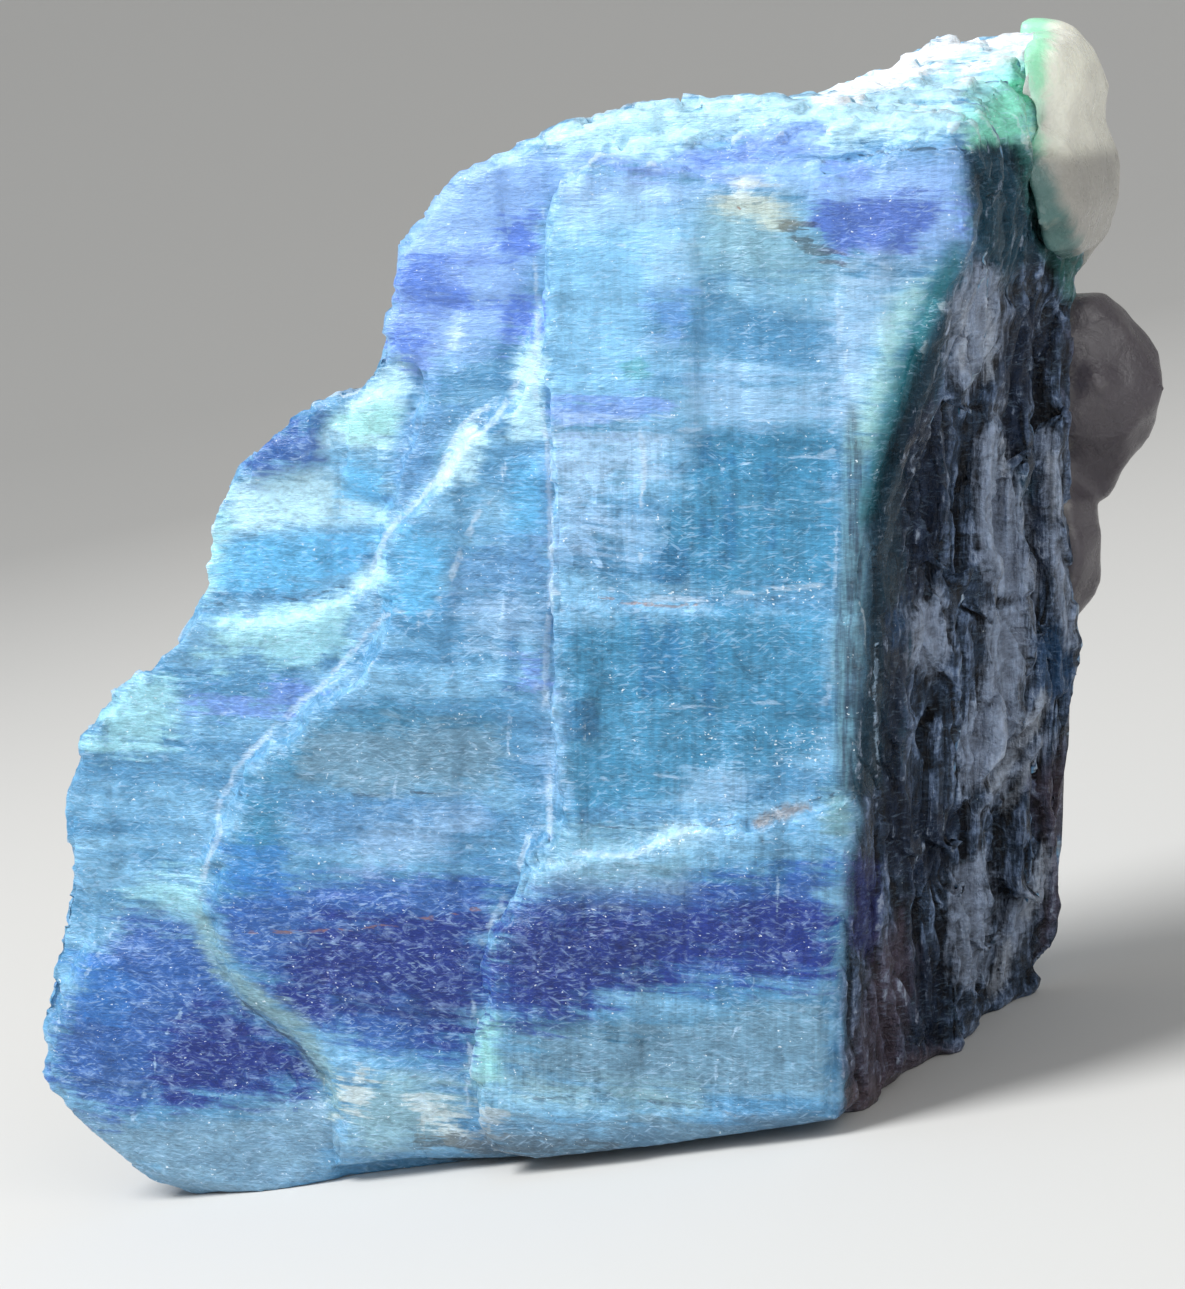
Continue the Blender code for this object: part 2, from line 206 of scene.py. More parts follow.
def blend(tree, share, a, b):
    node = tree.nodes.new("ShaderNodeMix")
    node.data_type = "RGBA"
    feed(tree, node.inputs[0], share)
    feed(tree, node.inputs[6], a)
    feed(tree, node.inputs[7], b)
    return node.outputs[2]


def fade(tree, value, low, high, first=0.0, last=1.0):
    node = tree.nodes.new("ShaderNodeMapRange")
    node.interpolation_type = "SMOOTHSTEP"
    for socket, number in zip(node.inputs, (value, low, high, first, last)):
        feed(tree, socket, number)
    return node.outputs[0]


def grain(tree, place, stretch, detail=4.0, rough=0.55, warp=0.0):   # noise drawn out along an axis
    drawn = made(tree, "Mapping", Vector=place, Scale=stretch).outputs[0]
    node = made(tree, "TexNoise", Vector=drawn, Scale=1.0, Detail=detail, Roughness=rough,
                Distortion=warp)
    return node.outputs["Fac"]


def field(tree, name):
    node = tree.nodes.new("ShaderNodeAttribute")
    node.attribute_name = name
    return node.outputs["Fac"]


def shade(tree, colour, amount):   # the colour made lighter or darker
    node = tree.nodes.new("ShaderNodeVectorMath")
    node.operation = "SCALE"
    feed(tree, node.inputs[0], colour)
    feed(tree, node.inputs["Scale"], amount)
    return node.outputs[0]


def crystalPlace(tree):   # object coordinates turned with the crystal and counted in millimetres
    where = made(tree, "TexCoord").outputs["Object"]
    place, turn, size = toCrystal.decompose()
    turned = made(tree, "Mapping", Vector=where, Location=place, Rotation=turn.to_euler(), Scale=size)
    return turned.outputs[0]


def newStone(name):
    material = bpy.data.materials.new(name)
    material.use_nodes = True
    return material, material.node_tree, material.node_tree.nodes["Principled BSDF"]


def bump(tree, shader, height, strength, distance):
    node = made(tree, "Bump", Strength=strength, Distance=distance * mm, Height=height)
    tree.links.new(node.outputs[0], shader.inputs["Normal"])


def lightInside(shader, bend, share, radius, depth):   # light that goes a little way in, depth in mm
    shader.inputs["IOR"].default_value = bend
    shader.inputs["Subsurface Weight"].default_value = share
    shader.inputs["Subsurface Radius"].default_value = radius
    shader.inputs["Subsurface Scale"].default_value = depth * mm


kyaniteShape = {
    "voxel": 0.115,
    "keepFaces": 186000,
    "frontStep": 0.06,           # how far the strips and partings on the broad face step, in mm
    "frontRipple": 0.02,
    "sideWear": 14,              # rounds of wear that take the straightness off the side's splinters
    "sideFibre": 0.23,
    "plateStep": 0.13,           # how far the silvery plates of the side stand out
    "leftStep": 0.14,
    "topBreak": 0.2,
    "backBlade": 0.2,
    "edgeChip": 0.08,
}


def path(*numbers):   # an outline or line from its x and y values in turn
    return list(zip(numbers[::2], numbers[1::2]))


def box(left, top, right, bottom):   # an upright rectangle as an outline
    return path(left, top, right, top, right, bottom, left, bottom)


# where each tint shows, as outlines in the picture's pixels, laid over each other in this order
kyaniteZones = {
    "lilac": [
        path(380, 350, 384, 300, 400, 240, 430, 185, 480, 152, 545, 140, 600, 150, 565, 180, 545, 215,
            538, 290, 525, 330, 480, 350, 445, 368, 412, 375),
        path(555, 188, 600, 168, 720, 178, 700, 205, 660, 240, 600, 235, 560, 225),
        path(660, 150, 760, 140, 820, 150, 820, 190, 720, 190, 640, 178),
        path(800, 190, 830, 165, 965, 150, 968, 250, 920, 262, 880, 255)],
    "sky": [
        path(545, 215, 600, 195, 690, 200, 680, 300, 640, 330, 640, 400, 548, 400, 540, 300),
        path(840, 285, 900, 280, 905, 330, 880, 400, 840, 420),
        path(548, 430, 640, 425, 690, 430, 660, 470, 560, 520, 550, 500)],
    # pale ice blue of the crystal, laid partly as painted highlight on the lit top edge and left
    # blocks
    "ice": [
        path(500, 160, 530, 140, 600, 108, 720, 88, 800, 96, 850, 72, 940, 36, 1070, 15, 1050, 70,
            965, 90, 962, 130, 860, 148, 820, 155, 790, 130, 740, 136, 680, 150, 660, 165, 600, 158,
            540, 150),
        path(355, 402, 385, 365, 410, 350, 412, 395, 402, 420, 394, 452, 330, 445, 300, 458, 312, 438,
            325, 425),
        path(225, 500, 245, 478, 300, 468, 340, 480, 388, 510, 385, 525, 300, 526, 235, 532),
        path(205, 590, 210, 535, 232, 520, 232, 560, 220, 595),
        path(375, 555, 388, 580, 350, 600, 340, 622, 300, 628, 225, 636, 215, 625, 300, 605,
            345, 590),
        path(480, 405, 455, 425, 440, 455, 430, 490, 470, 480, 485, 440),
        path(520, 340, 545, 340, 545, 440, 520, 445, 505, 430)],
    # painted highlight on the brightly lit top edge
    "white": [
        path(815, 100, 850, 72, 900, 55, 950, 25, 1000, 12, 1070, 12, 1045, 40, 960, 55, 900, 88,
            850, 102),
        path(958, 62, 1040, 40, 1036, 56, 962, 84)],
    "mint": [
        path(85, 745, 105, 700, 140, 675, 172, 685, 175, 725, 150, 752),
        path(122, 900, 150, 880, 200, 868, 212, 905, 206, 934, 185, 925, 150, 905),
        path(300, 605, 350, 596, 345, 655, 240, 662, 195, 664, 215, 625),
        path(205, 590, 212, 540, 226, 520, 226, 560, 214, 596),
        path(345, 1085, 400, 1075, 462, 1090, 466, 1130, 400, 1145, 350, 1138)],
    "aqua": [
        path(960, 130, 962, 90, 1000, 60, 1060, 60, 1050, 130, 1030, 160, 975, 150),
        path(330, 425, 385, 400, 404, 410, 396, 440, 350, 440),
        path(470, 1010, 500, 1010, 500, 1080, 468, 1085)],
    "cyan": [
        path(228, 540, 385, 528, 370, 560, 320, 585, 215, 600),
        path(345, 462, 385, 470, 388, 505, 340, 500),
        path(400, 525, 450, 535, 440, 590, 415, 612, 385, 605, 395, 560),
        path(512, 465, 546, 460, 548, 535, 512, 535)],
    "slate": [
        path(388, 500, 394, 440, 405, 415, 440, 405, 475, 408, 445, 450, 430, 490, 400, 510),
        path(455, 560, 500, 540, 548, 540, 548, 590, 500, 600, 450, 600),
        path(280, 800, 400, 790, 500, 800, 505, 830, 400, 850, 300, 850)],
    "teal": [
        path(700, 428, 832, 425, 832, 585, 720, 590, 655, 590, 655, 540, 690, 480),
        path(560, 630, 640, 615, 825, 615, 825, 740, 780, 770, 690, 790, 560, 815),
        path(310, 720, 400, 700, 500, 720, 500, 790, 300, 790, 250, 780),
        path(222, 850, 250, 800, 285, 800, 275, 890, 215, 905),
        path(560, 1020, 720, 1010, 820, 1000, 825, 1080, 700, 1095, 520, 1090, 500, 1040)],
    "dusty": [
        path(60, 1100, 150, 1116, 260, 1106, 330, 1092, 350, 1155, 250, 1205, 130, 1185),
        path(560, 1022, 720, 1012, 824, 998, 830, 1088, 700, 1100, 520, 1096, 500, 1045),
        path(340, 1075, 472, 1075, 472, 1155, 345, 1155),
        path(300, 735, 440, 715, 500, 735, 495, 790, 290, 790)],
    "royal": [
        path(60, 1020, 85, 980, 108, 945, 120, 918, 150, 912, 190, 925, 210, 950, 245, 1000,
            300, 1040, 322, 1080, 260, 1100, 150, 1110, 100, 1115, 55, 1085),
        path(205, 895, 300, 885, 480, 870, 500, 905, 470, 1060, 400, 1055, 330, 1030, 262, 990,
            225, 950),
        path(500, 905, 560, 880, 700, 880, 830, 860, 828, 975, 650, 990, 560, 1025, 480, 1010),
        path(245, 470, 258, 448, 275, 428, 320, 424, 314, 452, 300, 464, 260, 472)],
    "deepBlue": [
        path(812, 204, 870, 196, 946, 190, 938, 225, 912, 252, 860, 246, 840, 258, 818, 232)],
    "periwinkle": [
        path(395, 295, 405, 268, 440, 258, 500, 255, 470, 275, 470, 305, 440, 325, 400, 330),
        path(505, 212, 540, 208, 536, 250, 500, 252),
        path(508, 295, 536, 285, 538, 312, 525, 345, 500, 350),
        path(190, 714, 192, 698, 212, 698, 212, 716),
        path(218, 714, 224, 697, 300, 684, 316, 688, 295, 710, 260, 718),
        path(826, 185, 832, 165, 872, 165, 880, 178, 850, 192),
        path(585, 158, 640, 162, 700, 170, 760, 176, 750, 186, 680, 184, 640, 178),
        path(680, 158, 700, 148, 780, 130, 820, 126, 820, 144, 760, 160, 710, 168),
        path(550, 400, 640, 397, 678, 392, 676, 414, 620, 421, 556, 426),
        path(395, 345, 400, 335, 415, 345, 445, 345, 438, 368, 415, 370),
        path(520, 660, 546, 655, 546, 680, 520, 690), path(950, 195, 968, 190, 975, 235, 955, 235)],
    "column": [
        box(640, 612, 655, 700), box(663, 618, 680, 692), box(700, 636, 715, 722),
        box(725, 452, 735, 562), box(764, 458, 775, 548), box(700, 432, 711, 588),
        box(650, 545, 690, 586), box(560, 700, 600, 742), box(505, 585, 520, 690),
        box(770, 862, 785, 905)],
    # frost: whitish haze of the crystal, partly painted sheen
    "frost": [
        path(553, 430, 700, 428, 640, 478, 556, 500), box(598, 515, 650, 552),
        box(656, 238, 681, 345), path(560, 185, 700, 178, 690, 212, 620, 225, 556, 245),
        path(380, 826, 480, 800, 500, 830, 420, 862, 350, 866),
        path(470, 590, 548, 586, 548, 642, 470, 645),
        path(845, 335, 880, 320, 884, 360, 850, 420, 838, 400),
        path(845, 262, 935, 250, 925, 290, 850, 300), path(690, 778, 750, 772, 745, 800, 690, 802),
        path(636, 856, 668, 834, 698, 822, 700, 834, 672, 852)],
    "indigo": [
        path(485, 935, 510, 915, 580, 905, 700, 903, 780, 900, 826, 912, 824, 966, 755, 972, 745, 955,
            700, 965, 670, 985, 600, 998, 560, 1020, 520, 1010, 500, 985),
        path(265, 985, 300, 940, 330, 918, 420, 915, 478, 915, 478, 990, 474, 1040, 430, 1040,
            400, 1005, 330, 1005, 310, 1015),
        path(152, 1065, 180, 1025, 220, 1000, 250, 1008, 300, 1045, 318, 1078, 240, 1092, 160, 1100)],
    "pool": [
        path(401, 268, 424, 262, 442, 268, 440, 288, 404, 294),
        path(502, 218, 536, 214, 534, 250, 504, 252), path(391, 338, 420, 334, 414, 352, 390, 356),
        path(406, 296, 470, 288, 472, 306, 412, 312), path(512, 298, 534, 292, 534, 330, 514, 338)],
    "pearl": [
        path(446, 330, 452, 318, 466, 316, 464, 334, 454, 348, 446, 346),
        path(484, 412, 492, 414, 478, 440, 462, 462, 440, 488, 436, 484, 456, 452, 464, 428)],
    "spotBlue": [
        path(648, 296, 680, 294, 690, 320, 676, 336, 652, 330),
        path(70, 968, 104, 960, 130, 985, 120, 1022, 84, 1026),
        path(216, 842, 286, 846, 290, 892, 222, 898)],
    "spotGreen": [
        path(620, 362, 644, 360, 648, 376, 626, 380)],
    "yellow": [
        path(714, 196, 745, 188, 776, 198, 792, 214, 780, 226, 745, 222, 716, 212)],
    "moss": [
        path(824, 790, 852, 786, 852, 816, 842, 832, 828, 826)],
    # lavender: pale haze, partly painted sheen
    "lavender": [
        path(676, 384, 740, 378, 830, 384, 830, 412, 760, 418, 680, 416),
        path(828, 268, 876, 262, 900, 284, 880, 320, 846, 400, 828, 410),
        path(552, 430, 660, 426, 656, 470, 600, 500, 600, 560, 552, 560),
        path(546, 690, 560, 690, 562, 800, 548, 800)],
    "crust": [
        path(408, 1098, 440, 1100, 480, 1112, 500, 1130, 470, 1140, 420, 1128),
        path(338, 1078, 372, 1080, 380, 1110, 350, 1120)],
    # painted shade in a hollow at the top edge and under the base lip
    "pitShade": [
        path(786, 222, 806, 232, 820, 248, 838, 256, 842, 264, 826, 264, 806, 252),
        path(412, 1136, 470, 1142, 530, 1136, 620, 1142, 620, 1156, 520, 1152, 415, 1148)],
    "olive": [
        path(690, 195, 740, 182, 800, 185, 790, 230, 840, 262, 845, 290, 740, 285, 700, 260),
        path(800, 262, 800, 235, 825, 250, 850, 268, 835, 280),
        path(545, 850, 640, 858, 690, 850, 680, 890, 600, 890, 540, 880),
        path(555, 830, 600, 834, 690, 828, 690, 850, 600, 858, 560, 850),
        path(470, 1085, 560, 1080, 700, 1095, 700, 1110, 540, 1110, 470, 1105)],
    "vein": [
        path(198, 905, 212, 925, 236, 968, 268, 1000, 310, 1032, 336, 1070, 344, 1112, 334, 1112,
            322, 1080, 298, 1044, 250, 1008, 222, 980, 204, 945)],
    # painted shade along the base, under its lip
    "baseLipShade": [
        path(464, 1120, 520, 1116, 600, 1122, 700, 1118, 790, 1110, 850, 1110, 850, 1140, 760, 1160,
            560, 1175, 464, 1168)],
    "emerald": [
        path(978, 110, 1000, 85, 1045, 70, 1040, 105, 1020, 140, 990, 155, 972, 145)],
    "cream": [
        path(1046, 28, 1080, 24, 1070, 90, 1050, 130, 1034, 150, 1040, 90)],
    "bevel": [
        path(846, 392, 862, 416, 872, 520, 868, 640, 862, 790, 846, 796, 836, 780, 833, 640,
            840, 560)],
    "rimGreen": [
        path(888, 300, 934, 268, 922, 306, 904, 350, 890, 404, 876, 452, 852, 452, 866, 390)],
    "tealRim": [
        path(958, 244, 966, 262, 950, 300, 932, 350, 914, 410, 904, 470, 880, 520, 862, 520, 872, 440,
            888, 385, 906, 335, 930, 282)],
    # dark teal of the rounded edge, partly painted shade
    "deepTeal": [
        path(965, 150, 1000, 140, 1025, 145, 1050, 180, 1090, 270, 1090, 330, 1060, 310, 1030, 290,
            1005, 300, 975, 240),
        path(924, 345, 946, 300, 964, 262, 970, 310, 950, 370, 930, 430, 918, 500, 915, 620, 905, 790,
            862, 812, 850, 800, 864, 640, 868, 520, 882, 450, 902, 400)],
    "slateDark": [
        path(972, 246, 990, 256, 1010, 268, 1040, 258, 1110, 262, 1125, 420, 1125, 1140, 842, 1140,
            840, 1000, 848, 860, 862, 800, 898, 770, 904, 640, 908, 500, 922, 430, 944, 370,
            960, 310)],
    "inkTeal": [
        path(970, 146, 1008, 146, 1024, 190, 1034, 240, 1004, 292, 976, 250),
        path(1012, 470, 1030, 480, 1030, 500, 1016, 510)],
    "navy": [
        path(905, 430, 935, 400, 948, 430, 945, 520, 930, 600, 904, 610, 900, 520),
        path(885, 610, 905, 600, 912, 640, 900, 760, 925, 840, 900, 880, 880, 860, 884, 700),
        path(1000, 330, 1030, 300, 1060, 330, 1030, 400, 1010, 475, 1003, 440),
        path(1030, 500, 1045, 500, 1050, 580, 1036, 585),
        path(920, 800, 960, 810, 940, 870, 910, 900, 900, 860),
        path(905, 960, 940, 940, 940, 1040, 915, 1060)],
    "seaGreen": [
        path(1016, 140, 1036, 146, 1052, 178, 1066, 208, 1086, 246, 1094, 310, 1066, 300, 1044, 250,
            1026, 200)],
    "bluePatch": [
        path(1036, 640, 1060, 620, 1076, 640, 1070, 690, 1046, 700),
        path(890, 612, 912, 600, 912, 640, 893, 650)],
    "violet": [
        path(848, 856, 876, 858, 882, 900, 872, 960, 850, 945)],
    # silver plates of the side: their silvery grey partly painted highlight of lit facets
    "silver": [
        path(950, 300, 978, 262, 998, 270, 1002, 350, 966, 392, 948, 366),
        path(978, 440, 996, 412, 1006, 470, 1022, 490, 1030, 560, 1040, 590, 1000, 600, 980, 560,
            975, 500),
        path(1040, 430, 1060, 430, 1062, 520, 1070, 600, 1080, 650, 1065, 650, 1050, 560),
        path(985, 610, 1028, 600, 1030, 650, 1020, 700, 1030, 720, 1000, 770, 965, 800, 960, 750,
            975, 700, 990, 650),
        path(908, 610, 940, 590, 950, 650, 930, 680, 908, 660),
        path(1020, 760, 1045, 730, 1052, 740, 1000, 800, 975, 815),
        path(955, 870, 985, 850, 996, 900, 985, 980, 955, 990, 945, 920),
        path(1038, 860, 1055, 835, 1050, 890, 1022, 935, 1010, 960, 1002, 985, 996, 940)],
    "brown": [
        path(848, 1115, 852, 1060, 872, 960, 890, 930, 905, 900, 912, 960, 905, 1050, 960, 1050,
            930, 1090, 890, 1112),
        path(1070, 330, 1130, 300, 1130, 760, 1096, 700, 1090, 560, 1076, 430),
        path(1030, 780, 1070, 740, 1070, 900, 1040, 960, 1052, 860)],
    "tan": [
        path(846, 1088, 880, 1078, 946, 1050, 938, 1090, 900, 1112, 850, 1124)],
    # painted highlights on lit flakes of the side
    "bright": [
        path(1044, 690, 1050, 706, 1034, 738, 1014, 764, 1000, 792, 988, 794, 998, 764, 1014, 738,
            1036, 706),
        path(1046, 832, 1054, 850, 1046, 890, 1030, 918, 1022, 916, 1036, 880, 1040, 850),
        path(1006, 935, 1014, 950, 1004, 982, 990, 1002, 988, 986, 998, 955),
        path(1028, 758, 1034, 764, 1022, 792, 1006, 816, 1000, 808, 1016, 782),
        path(986, 300, 992, 300, 994, 380, 984, 384), path(962, 300, 968, 296, 966, 370, 958, 372),
        path(1000, 440, 1006, 440, 1008, 480, 1002, 482),
        path(1046, 450, 1054, 450, 1060, 520, 1052, 522)],
    "slab": [
        path(545, 165, 965, 150, 965, 262, 870, 800, 845, 1112, 470, 1112, 480, 930, 548, 832),
        path(960, 240, 1130, 260, 1130, 1140, 840, 1140, 866, 800)],
    "calm": [
        path(541, 160, 965, 150, 965, 262, 880, 428, 541, 428),
        path(380, 400, 390, 230, 480, 140, 545, 150, 541, 420)],
    # where the painted glints, white specks, gather
    "glint": [
        path(650, 590, 740, 584, 830, 576, 830, 606, 740, 606, 655, 612),
        path(760, 560, 820, 553, 820, 578, 760, 582), box(692, 722, 716, 762),
        path(770, 728, 830, 718, 830, 762, 772, 778),
        path(630, 842, 700, 820, 730, 820, 700, 846, 640, 860), box(848, 470, 858, 520),
        path(452, 950, 474, 944, 472, 985, 458, 985)],
    "stain": [
        path(752, 822, 775, 808, 806, 802, 812, 808, 790, 816, 760, 828)],
}

kyaniteLines = {
    "paleLine": [
        path(541, 215, 536, 260, 538, 310, 537, 345, 534, 390, 540, 420, 547, 440, 550, 520, 551, 600,
            546, 650, 545, 740, 549, 790, 550, 838),
        path(537, 345, 527, 362, 514, 388, 502, 410, 485, 430),
        path(488, 405, 462, 425, 450, 448, 438, 478, 418, 500, 398, 520, 386, 535, 378, 555,
            372, 572),
        path(515, 448, 503, 470, 496, 492, 478, 512, 466, 540, 452, 575, 440, 600, 412, 632),
        path(405, 613, 385, 615, 366, 634, 350, 655, 333, 672, 320, 690, 300, 700, 288, 716, 262, 740,
            238, 765, 228, 788, 216, 805, 220, 832, 208, 860, 200, 890),
        path(555, 592, 600, 588, 645, 599, 700, 600, 740, 592, 800, 587, 822, 585),
        path(641, 428, 644, 470, 642, 520, 641, 560),
        path(530, 830, 524, 852, 512, 882, 502, 905, 484, 932, 477, 962, 475, 1000, 470, 1050,
            466, 1105),
        path(575, 852, 630, 856, 690, 828)],
    "thinLine": [
        path(548, 430, 580, 422, 640, 420, 655, 412, 690, 424, 760, 420, 832, 426),
        path(833, 428, 836, 520, 834, 640, 828, 700, 832, 790),
        path(541, 232, 543, 206, 552, 188, 568, 174, 590, 166, 612, 163),
        path(720, 470, 760, 460, 830, 455), path(715, 512, 750, 505, 775, 510, 830, 500),
        path(600, 714, 700, 706, 830, 700), path(700, 600, 760, 566, 820, 560),
        path(560, 476, 600, 458, 640, 450, 670, 432, 700, 430), path(780, 760, 800, 742, 828, 736),
        path(560, 782, 640, 776, 720, 781, 825, 770),
        path(712, 1100, 718, 1060, 735, 1030, 752, 1015, 758, 960, 772, 935, 780, 870),
        path(202, 972, 192, 990, 184, 1010, 168, 1032, 158, 1050, 152, 1078, 142, 1100, 130, 1125),
        path(125, 905, 104, 946, 76, 990, 52, 1036), path(405, 745, 400, 770, 392, 800),
        path(437, 700, 446, 684, 462, 660), path(350, 880, 420, 860, 500, 838),
        path(840, 300, 846, 360, 838, 420), path(878, 620, 874, 700, 878, 760),
        path(505, 590, 500, 640, 512, 700, 506, 760), path(610, 250, 650, 235, 700, 240),
        path(560, 250, 600, 238, 660, 262), path(820, 262, 838, 300, 836, 360),
        path(856, 300, 880, 320, 896, 300)],
    "brownLine": [
        path(236, 933, 330, 931, 400, 924, 450, 915, 494, 905), path(560, 590, 640, 604, 700, 606),
        path(738, 206, 742, 212)],
    "darkLine": [
        path(575, 824, 620, 827, 690, 824, 730, 825, 760, 814, 790, 803, 830, 797, 846, 785),
        path(500, 1105, 540, 1098, 580, 1098, 620, 1100, 680, 1105, 720, 1110),
        path(822, 162, 870, 154, 930, 148, 966, 150), path(205, 606, 250, 602, 300, 598, 345, 586),
        path(800, 235, 812, 252, 830, 266, 845, 268), path(225, 794, 330, 797, 420, 793, 500, 790),
        path(240, 1000, 262, 1018, 300, 1046, 318, 1072)],
}

# places on the front that are worn flush: an outline in the picture and the rounds of wear
kyaniteWorn = [
    (path(492, 785, 562, 785, 580, 862, 500, 880), 70),
    (path(88, 885, 215, 845, 250, 930, 345, 1025, 368, 1120, 318, 1145, 285, 1065, 215, 1015,
          150, 965, 84, 968), 80),
    (path(190, 870, 230, 780, 300, 670, 390, 590, 410, 620, 320, 720, 250, 820, 230, 890), 8),
    (box(550, 690, 600, 750), 25),
]

# parts of the right side that stand out or lie back: an outline in the picture and a height in mm
kyaniteStepped = [(outline, kyaniteShape["plateStep"]) for outline in kyaniteZones["silver"]] + [
    (path(1050, 700, 955, 812, 938, 880, 944, 960, 925, 1080, 1010, 1010, 1090, 930,
          1090, 690), -0.28),
    (path(1012, 404, 1024, 404, 1032, 484, 1046, 600, 1036, 640, 1018, 480), -0.16),
    (path(1030, 60, 1060, 60, 1064, 170, 1096, 260, 1094, 300, 1062, 240, 1036, 150), 0.2),
]


def kyaniteRelief(spot, look):   # how far a point moves out along its normal, in mm
    u, y, w = spot
    move = 0.0
    front, right, left, top, back = look
    if front > 0.01:
        bend = noise.noise(Vector((u * 0.12, 5.0, w * 0.35))) * 0.4
        strip = noise.cell(Vector((u / 1.4 + bend, 1.0, w / 6.5))) - 0.5
        parting = noise.cell(Vector((u / 8.0, 4.0, w / 1.7 + bend))) - 0.5
        ripple = noise.noise(Vector((u * 0.3, y, w * 3.1)))
        ripple += 0.6 * noise.noise(Vector((u * 3.3, y, w * 0.4)))
        step = (strip + parting) * kyaniteShape["frontStep"]
        move += front * (step + ripple * kyaniteShape["frontRipple"])
    if right > 0.01:
        slant = y * 0.9 + w * 0.1 - 0.02 * max(0.0, 16 - w) ** 1.5   # leans more near the base
        wave = noise.noise(Vector((u * 0.5, slant * 0.5, w * 0.25)))
        flake = 1 - 2.2 * abs(noise.noise(Vector((u * 0.5, slant * 1.1 + wave, w * 0.2))))
        fibre = 1 - 2.2 * abs(noise.noise(Vector((u, slant * 2.8 + wave, w * 0.5 + 9))))
        lump = noise.noise(Vector((u * 1.5, y * 2.2, w * 1.7)))
        broken = Vector((0, slant / 1.3 + 0.9 * wave, w / 3.1 + y * 0.6 + 1.2 * wave))
        ledge = noise.cell(broken) - 0.5
        splinter = 0.8 * wave + 0.8 * flake + 0.4 * fibre + 0.6 * lump + 0.9 * ledge - 0.6
        move += right * kyaniteShape["sideFibre"] * splinter
    if left > 0.01:
        ledge = noise.cell(Vector((3.0, y / 1.6, w / 0.9 + 0.4 * noise.noise(spot * 0.6)))) - 0.5
        grit = 0.5 * noise.noise(spot * 3.1)
        move += left * kyaniteShape["leftStep"] * (ledge + noise.noise(spot * 1.3) + grit)
    if top > 0.01:
        stub = noise.cell(Vector((u / 0.9 + 0.5 * noise.noise(spot), y / 0.7, 2.0))) - 0.5
        grit = noise.noise(spot * 1.1) + 0.6 * noise.noise(spot * 2.9)
        move += top * kyaniteShape["topBreak"] * (stub + 0.8 * grit)
    if back > 0.01:
        blade = noise.noise(Vector((u * 0.7, 0.0, w * 0.1)))
        blade += 0.5 * noise.noise(Vector((u * 2.0, 4.0, w * 0.3)))
        stepped = noise.cell(Vector((u / 1.9 + blade, 7.0, w / 6.0))) - 0.5
        move += back * kyaniteShape["backBlade"] * (blade + 0.5 * stepped)
    return move


def thinned(mesh, faces):   # fewer triangles where the surface is flat
    holder = placed("thinning", mesh)
    holder.modifiers.new("triangles", "TRIANGULATE")
    collapse = holder.modifiers.new("fewer", "DECIMATE")
    collapse.ratio = min(1.0, faces / (2 * len(mesh.polygons)))
    fewer = applied(holder)
    bpy.data.objects.remove(holder)
    bpy.data.meshes.remove(mesh)
    return fewer


def heightOf(spots):   # above the floor, in mm
    lean = math.radians(crystal["lean"])
    return spots[:, 2] * math.cos(lean) - spots[:, 0] * math.sin(lean) + crystal["shift"][2]


def facesOf(normals):   # how much each point looks forward, right, left, up and back
    return np.stack([ease(-normals[:, 1], 0.55, 0.85), ease(normals[:, 0], 0.3, 0.6),
                     ease(-normals[:, 0], 0.3, 0.65), ease(normals[:, 2], 0.4, 0.75),
                     ease(normals[:, 1], 0.5, 0.8)], 1)


def calmNormals(mesh, pairs):
    calm = smoothed(normalsOf(mesh), pairs, 4)
    return calm / np.maximum(np.linalg.norm(calm, axis=1), 1e-6)[:, None]


def settle(mesh, spots):
    mesh.vertices.foreach_set("co", spots.ravel())
    mesh.update()


def makeKyanite():
    mesh = remeshedCopy("kyanite", kyaniteShape["voxel"])
    pairs = pairsOf(mesh)
    spots = spotsOf(mesh)
    spots = smoothed(spots, pairs, 1) * 0.5 + spots * 0.5
    settle(mesh, spots)
    seen = pictureSpots(spots)
    for outline, rounds in kyaniteWorn:
        share = ease(outlineDepth(seen, outline), -2, 12) * (spots[:, 1] < -2)
        spots += (smoothed(spots, pairs, rounds) - spots) * share[:, None]
    looks = facesOf(calmNormals(mesh, pairs))
    worn = smoothed(spots, pairs, kyaniteShape["sideWear"])
    spots += (worn - spots) * looks[:, 1:2]
    settle(mesh, spots)
    normals = normalsOf(mesh)
    calm = calmNormals(mesh, pairs)
    looks = facesOf(calm)
    bulge = ((spots - smoothed(spots, pairs, 14)) * calm).sum(1)
    standing = ease(heightOf(spots), 0.0, 0.8)
    moves = np.array([kyaniteRelief(Vector(spot), look) for spot, look in zip(spots, looks)])
    seen = pictureSpots(spots)
    for outline, height in kyaniteStepped:
        moves += height * looks[:, 1] * ease(outlineDepth(seen, outline), -2, 4)
    chips = np.array([noise.noise(Vector(spot) * 1.4) + 0.5 * noise.noise(Vector(spot) * 3.6)
                      for spot in spots])
    moves -= kyaniteShape["edgeChip"] * ease(bulge, 0.02, 0.1) * ease(chips, -0.1, 0.5)
    spots = spots + normals * (moves * standing)[:, None]
    settle(mesh, spots)
    keep(mesh, "edge", ((spots - smoothed(spots, pairs, 5)) * calm).sum(1))
    mesh = thinned(mesh, kyaniteShape["keepFaces"])
    markZones(mesh, kyaniteZones, kyaniteLines)
    finishPiece(mesh, "kyanite_blades", "kyanite", kyaniteMaterial())


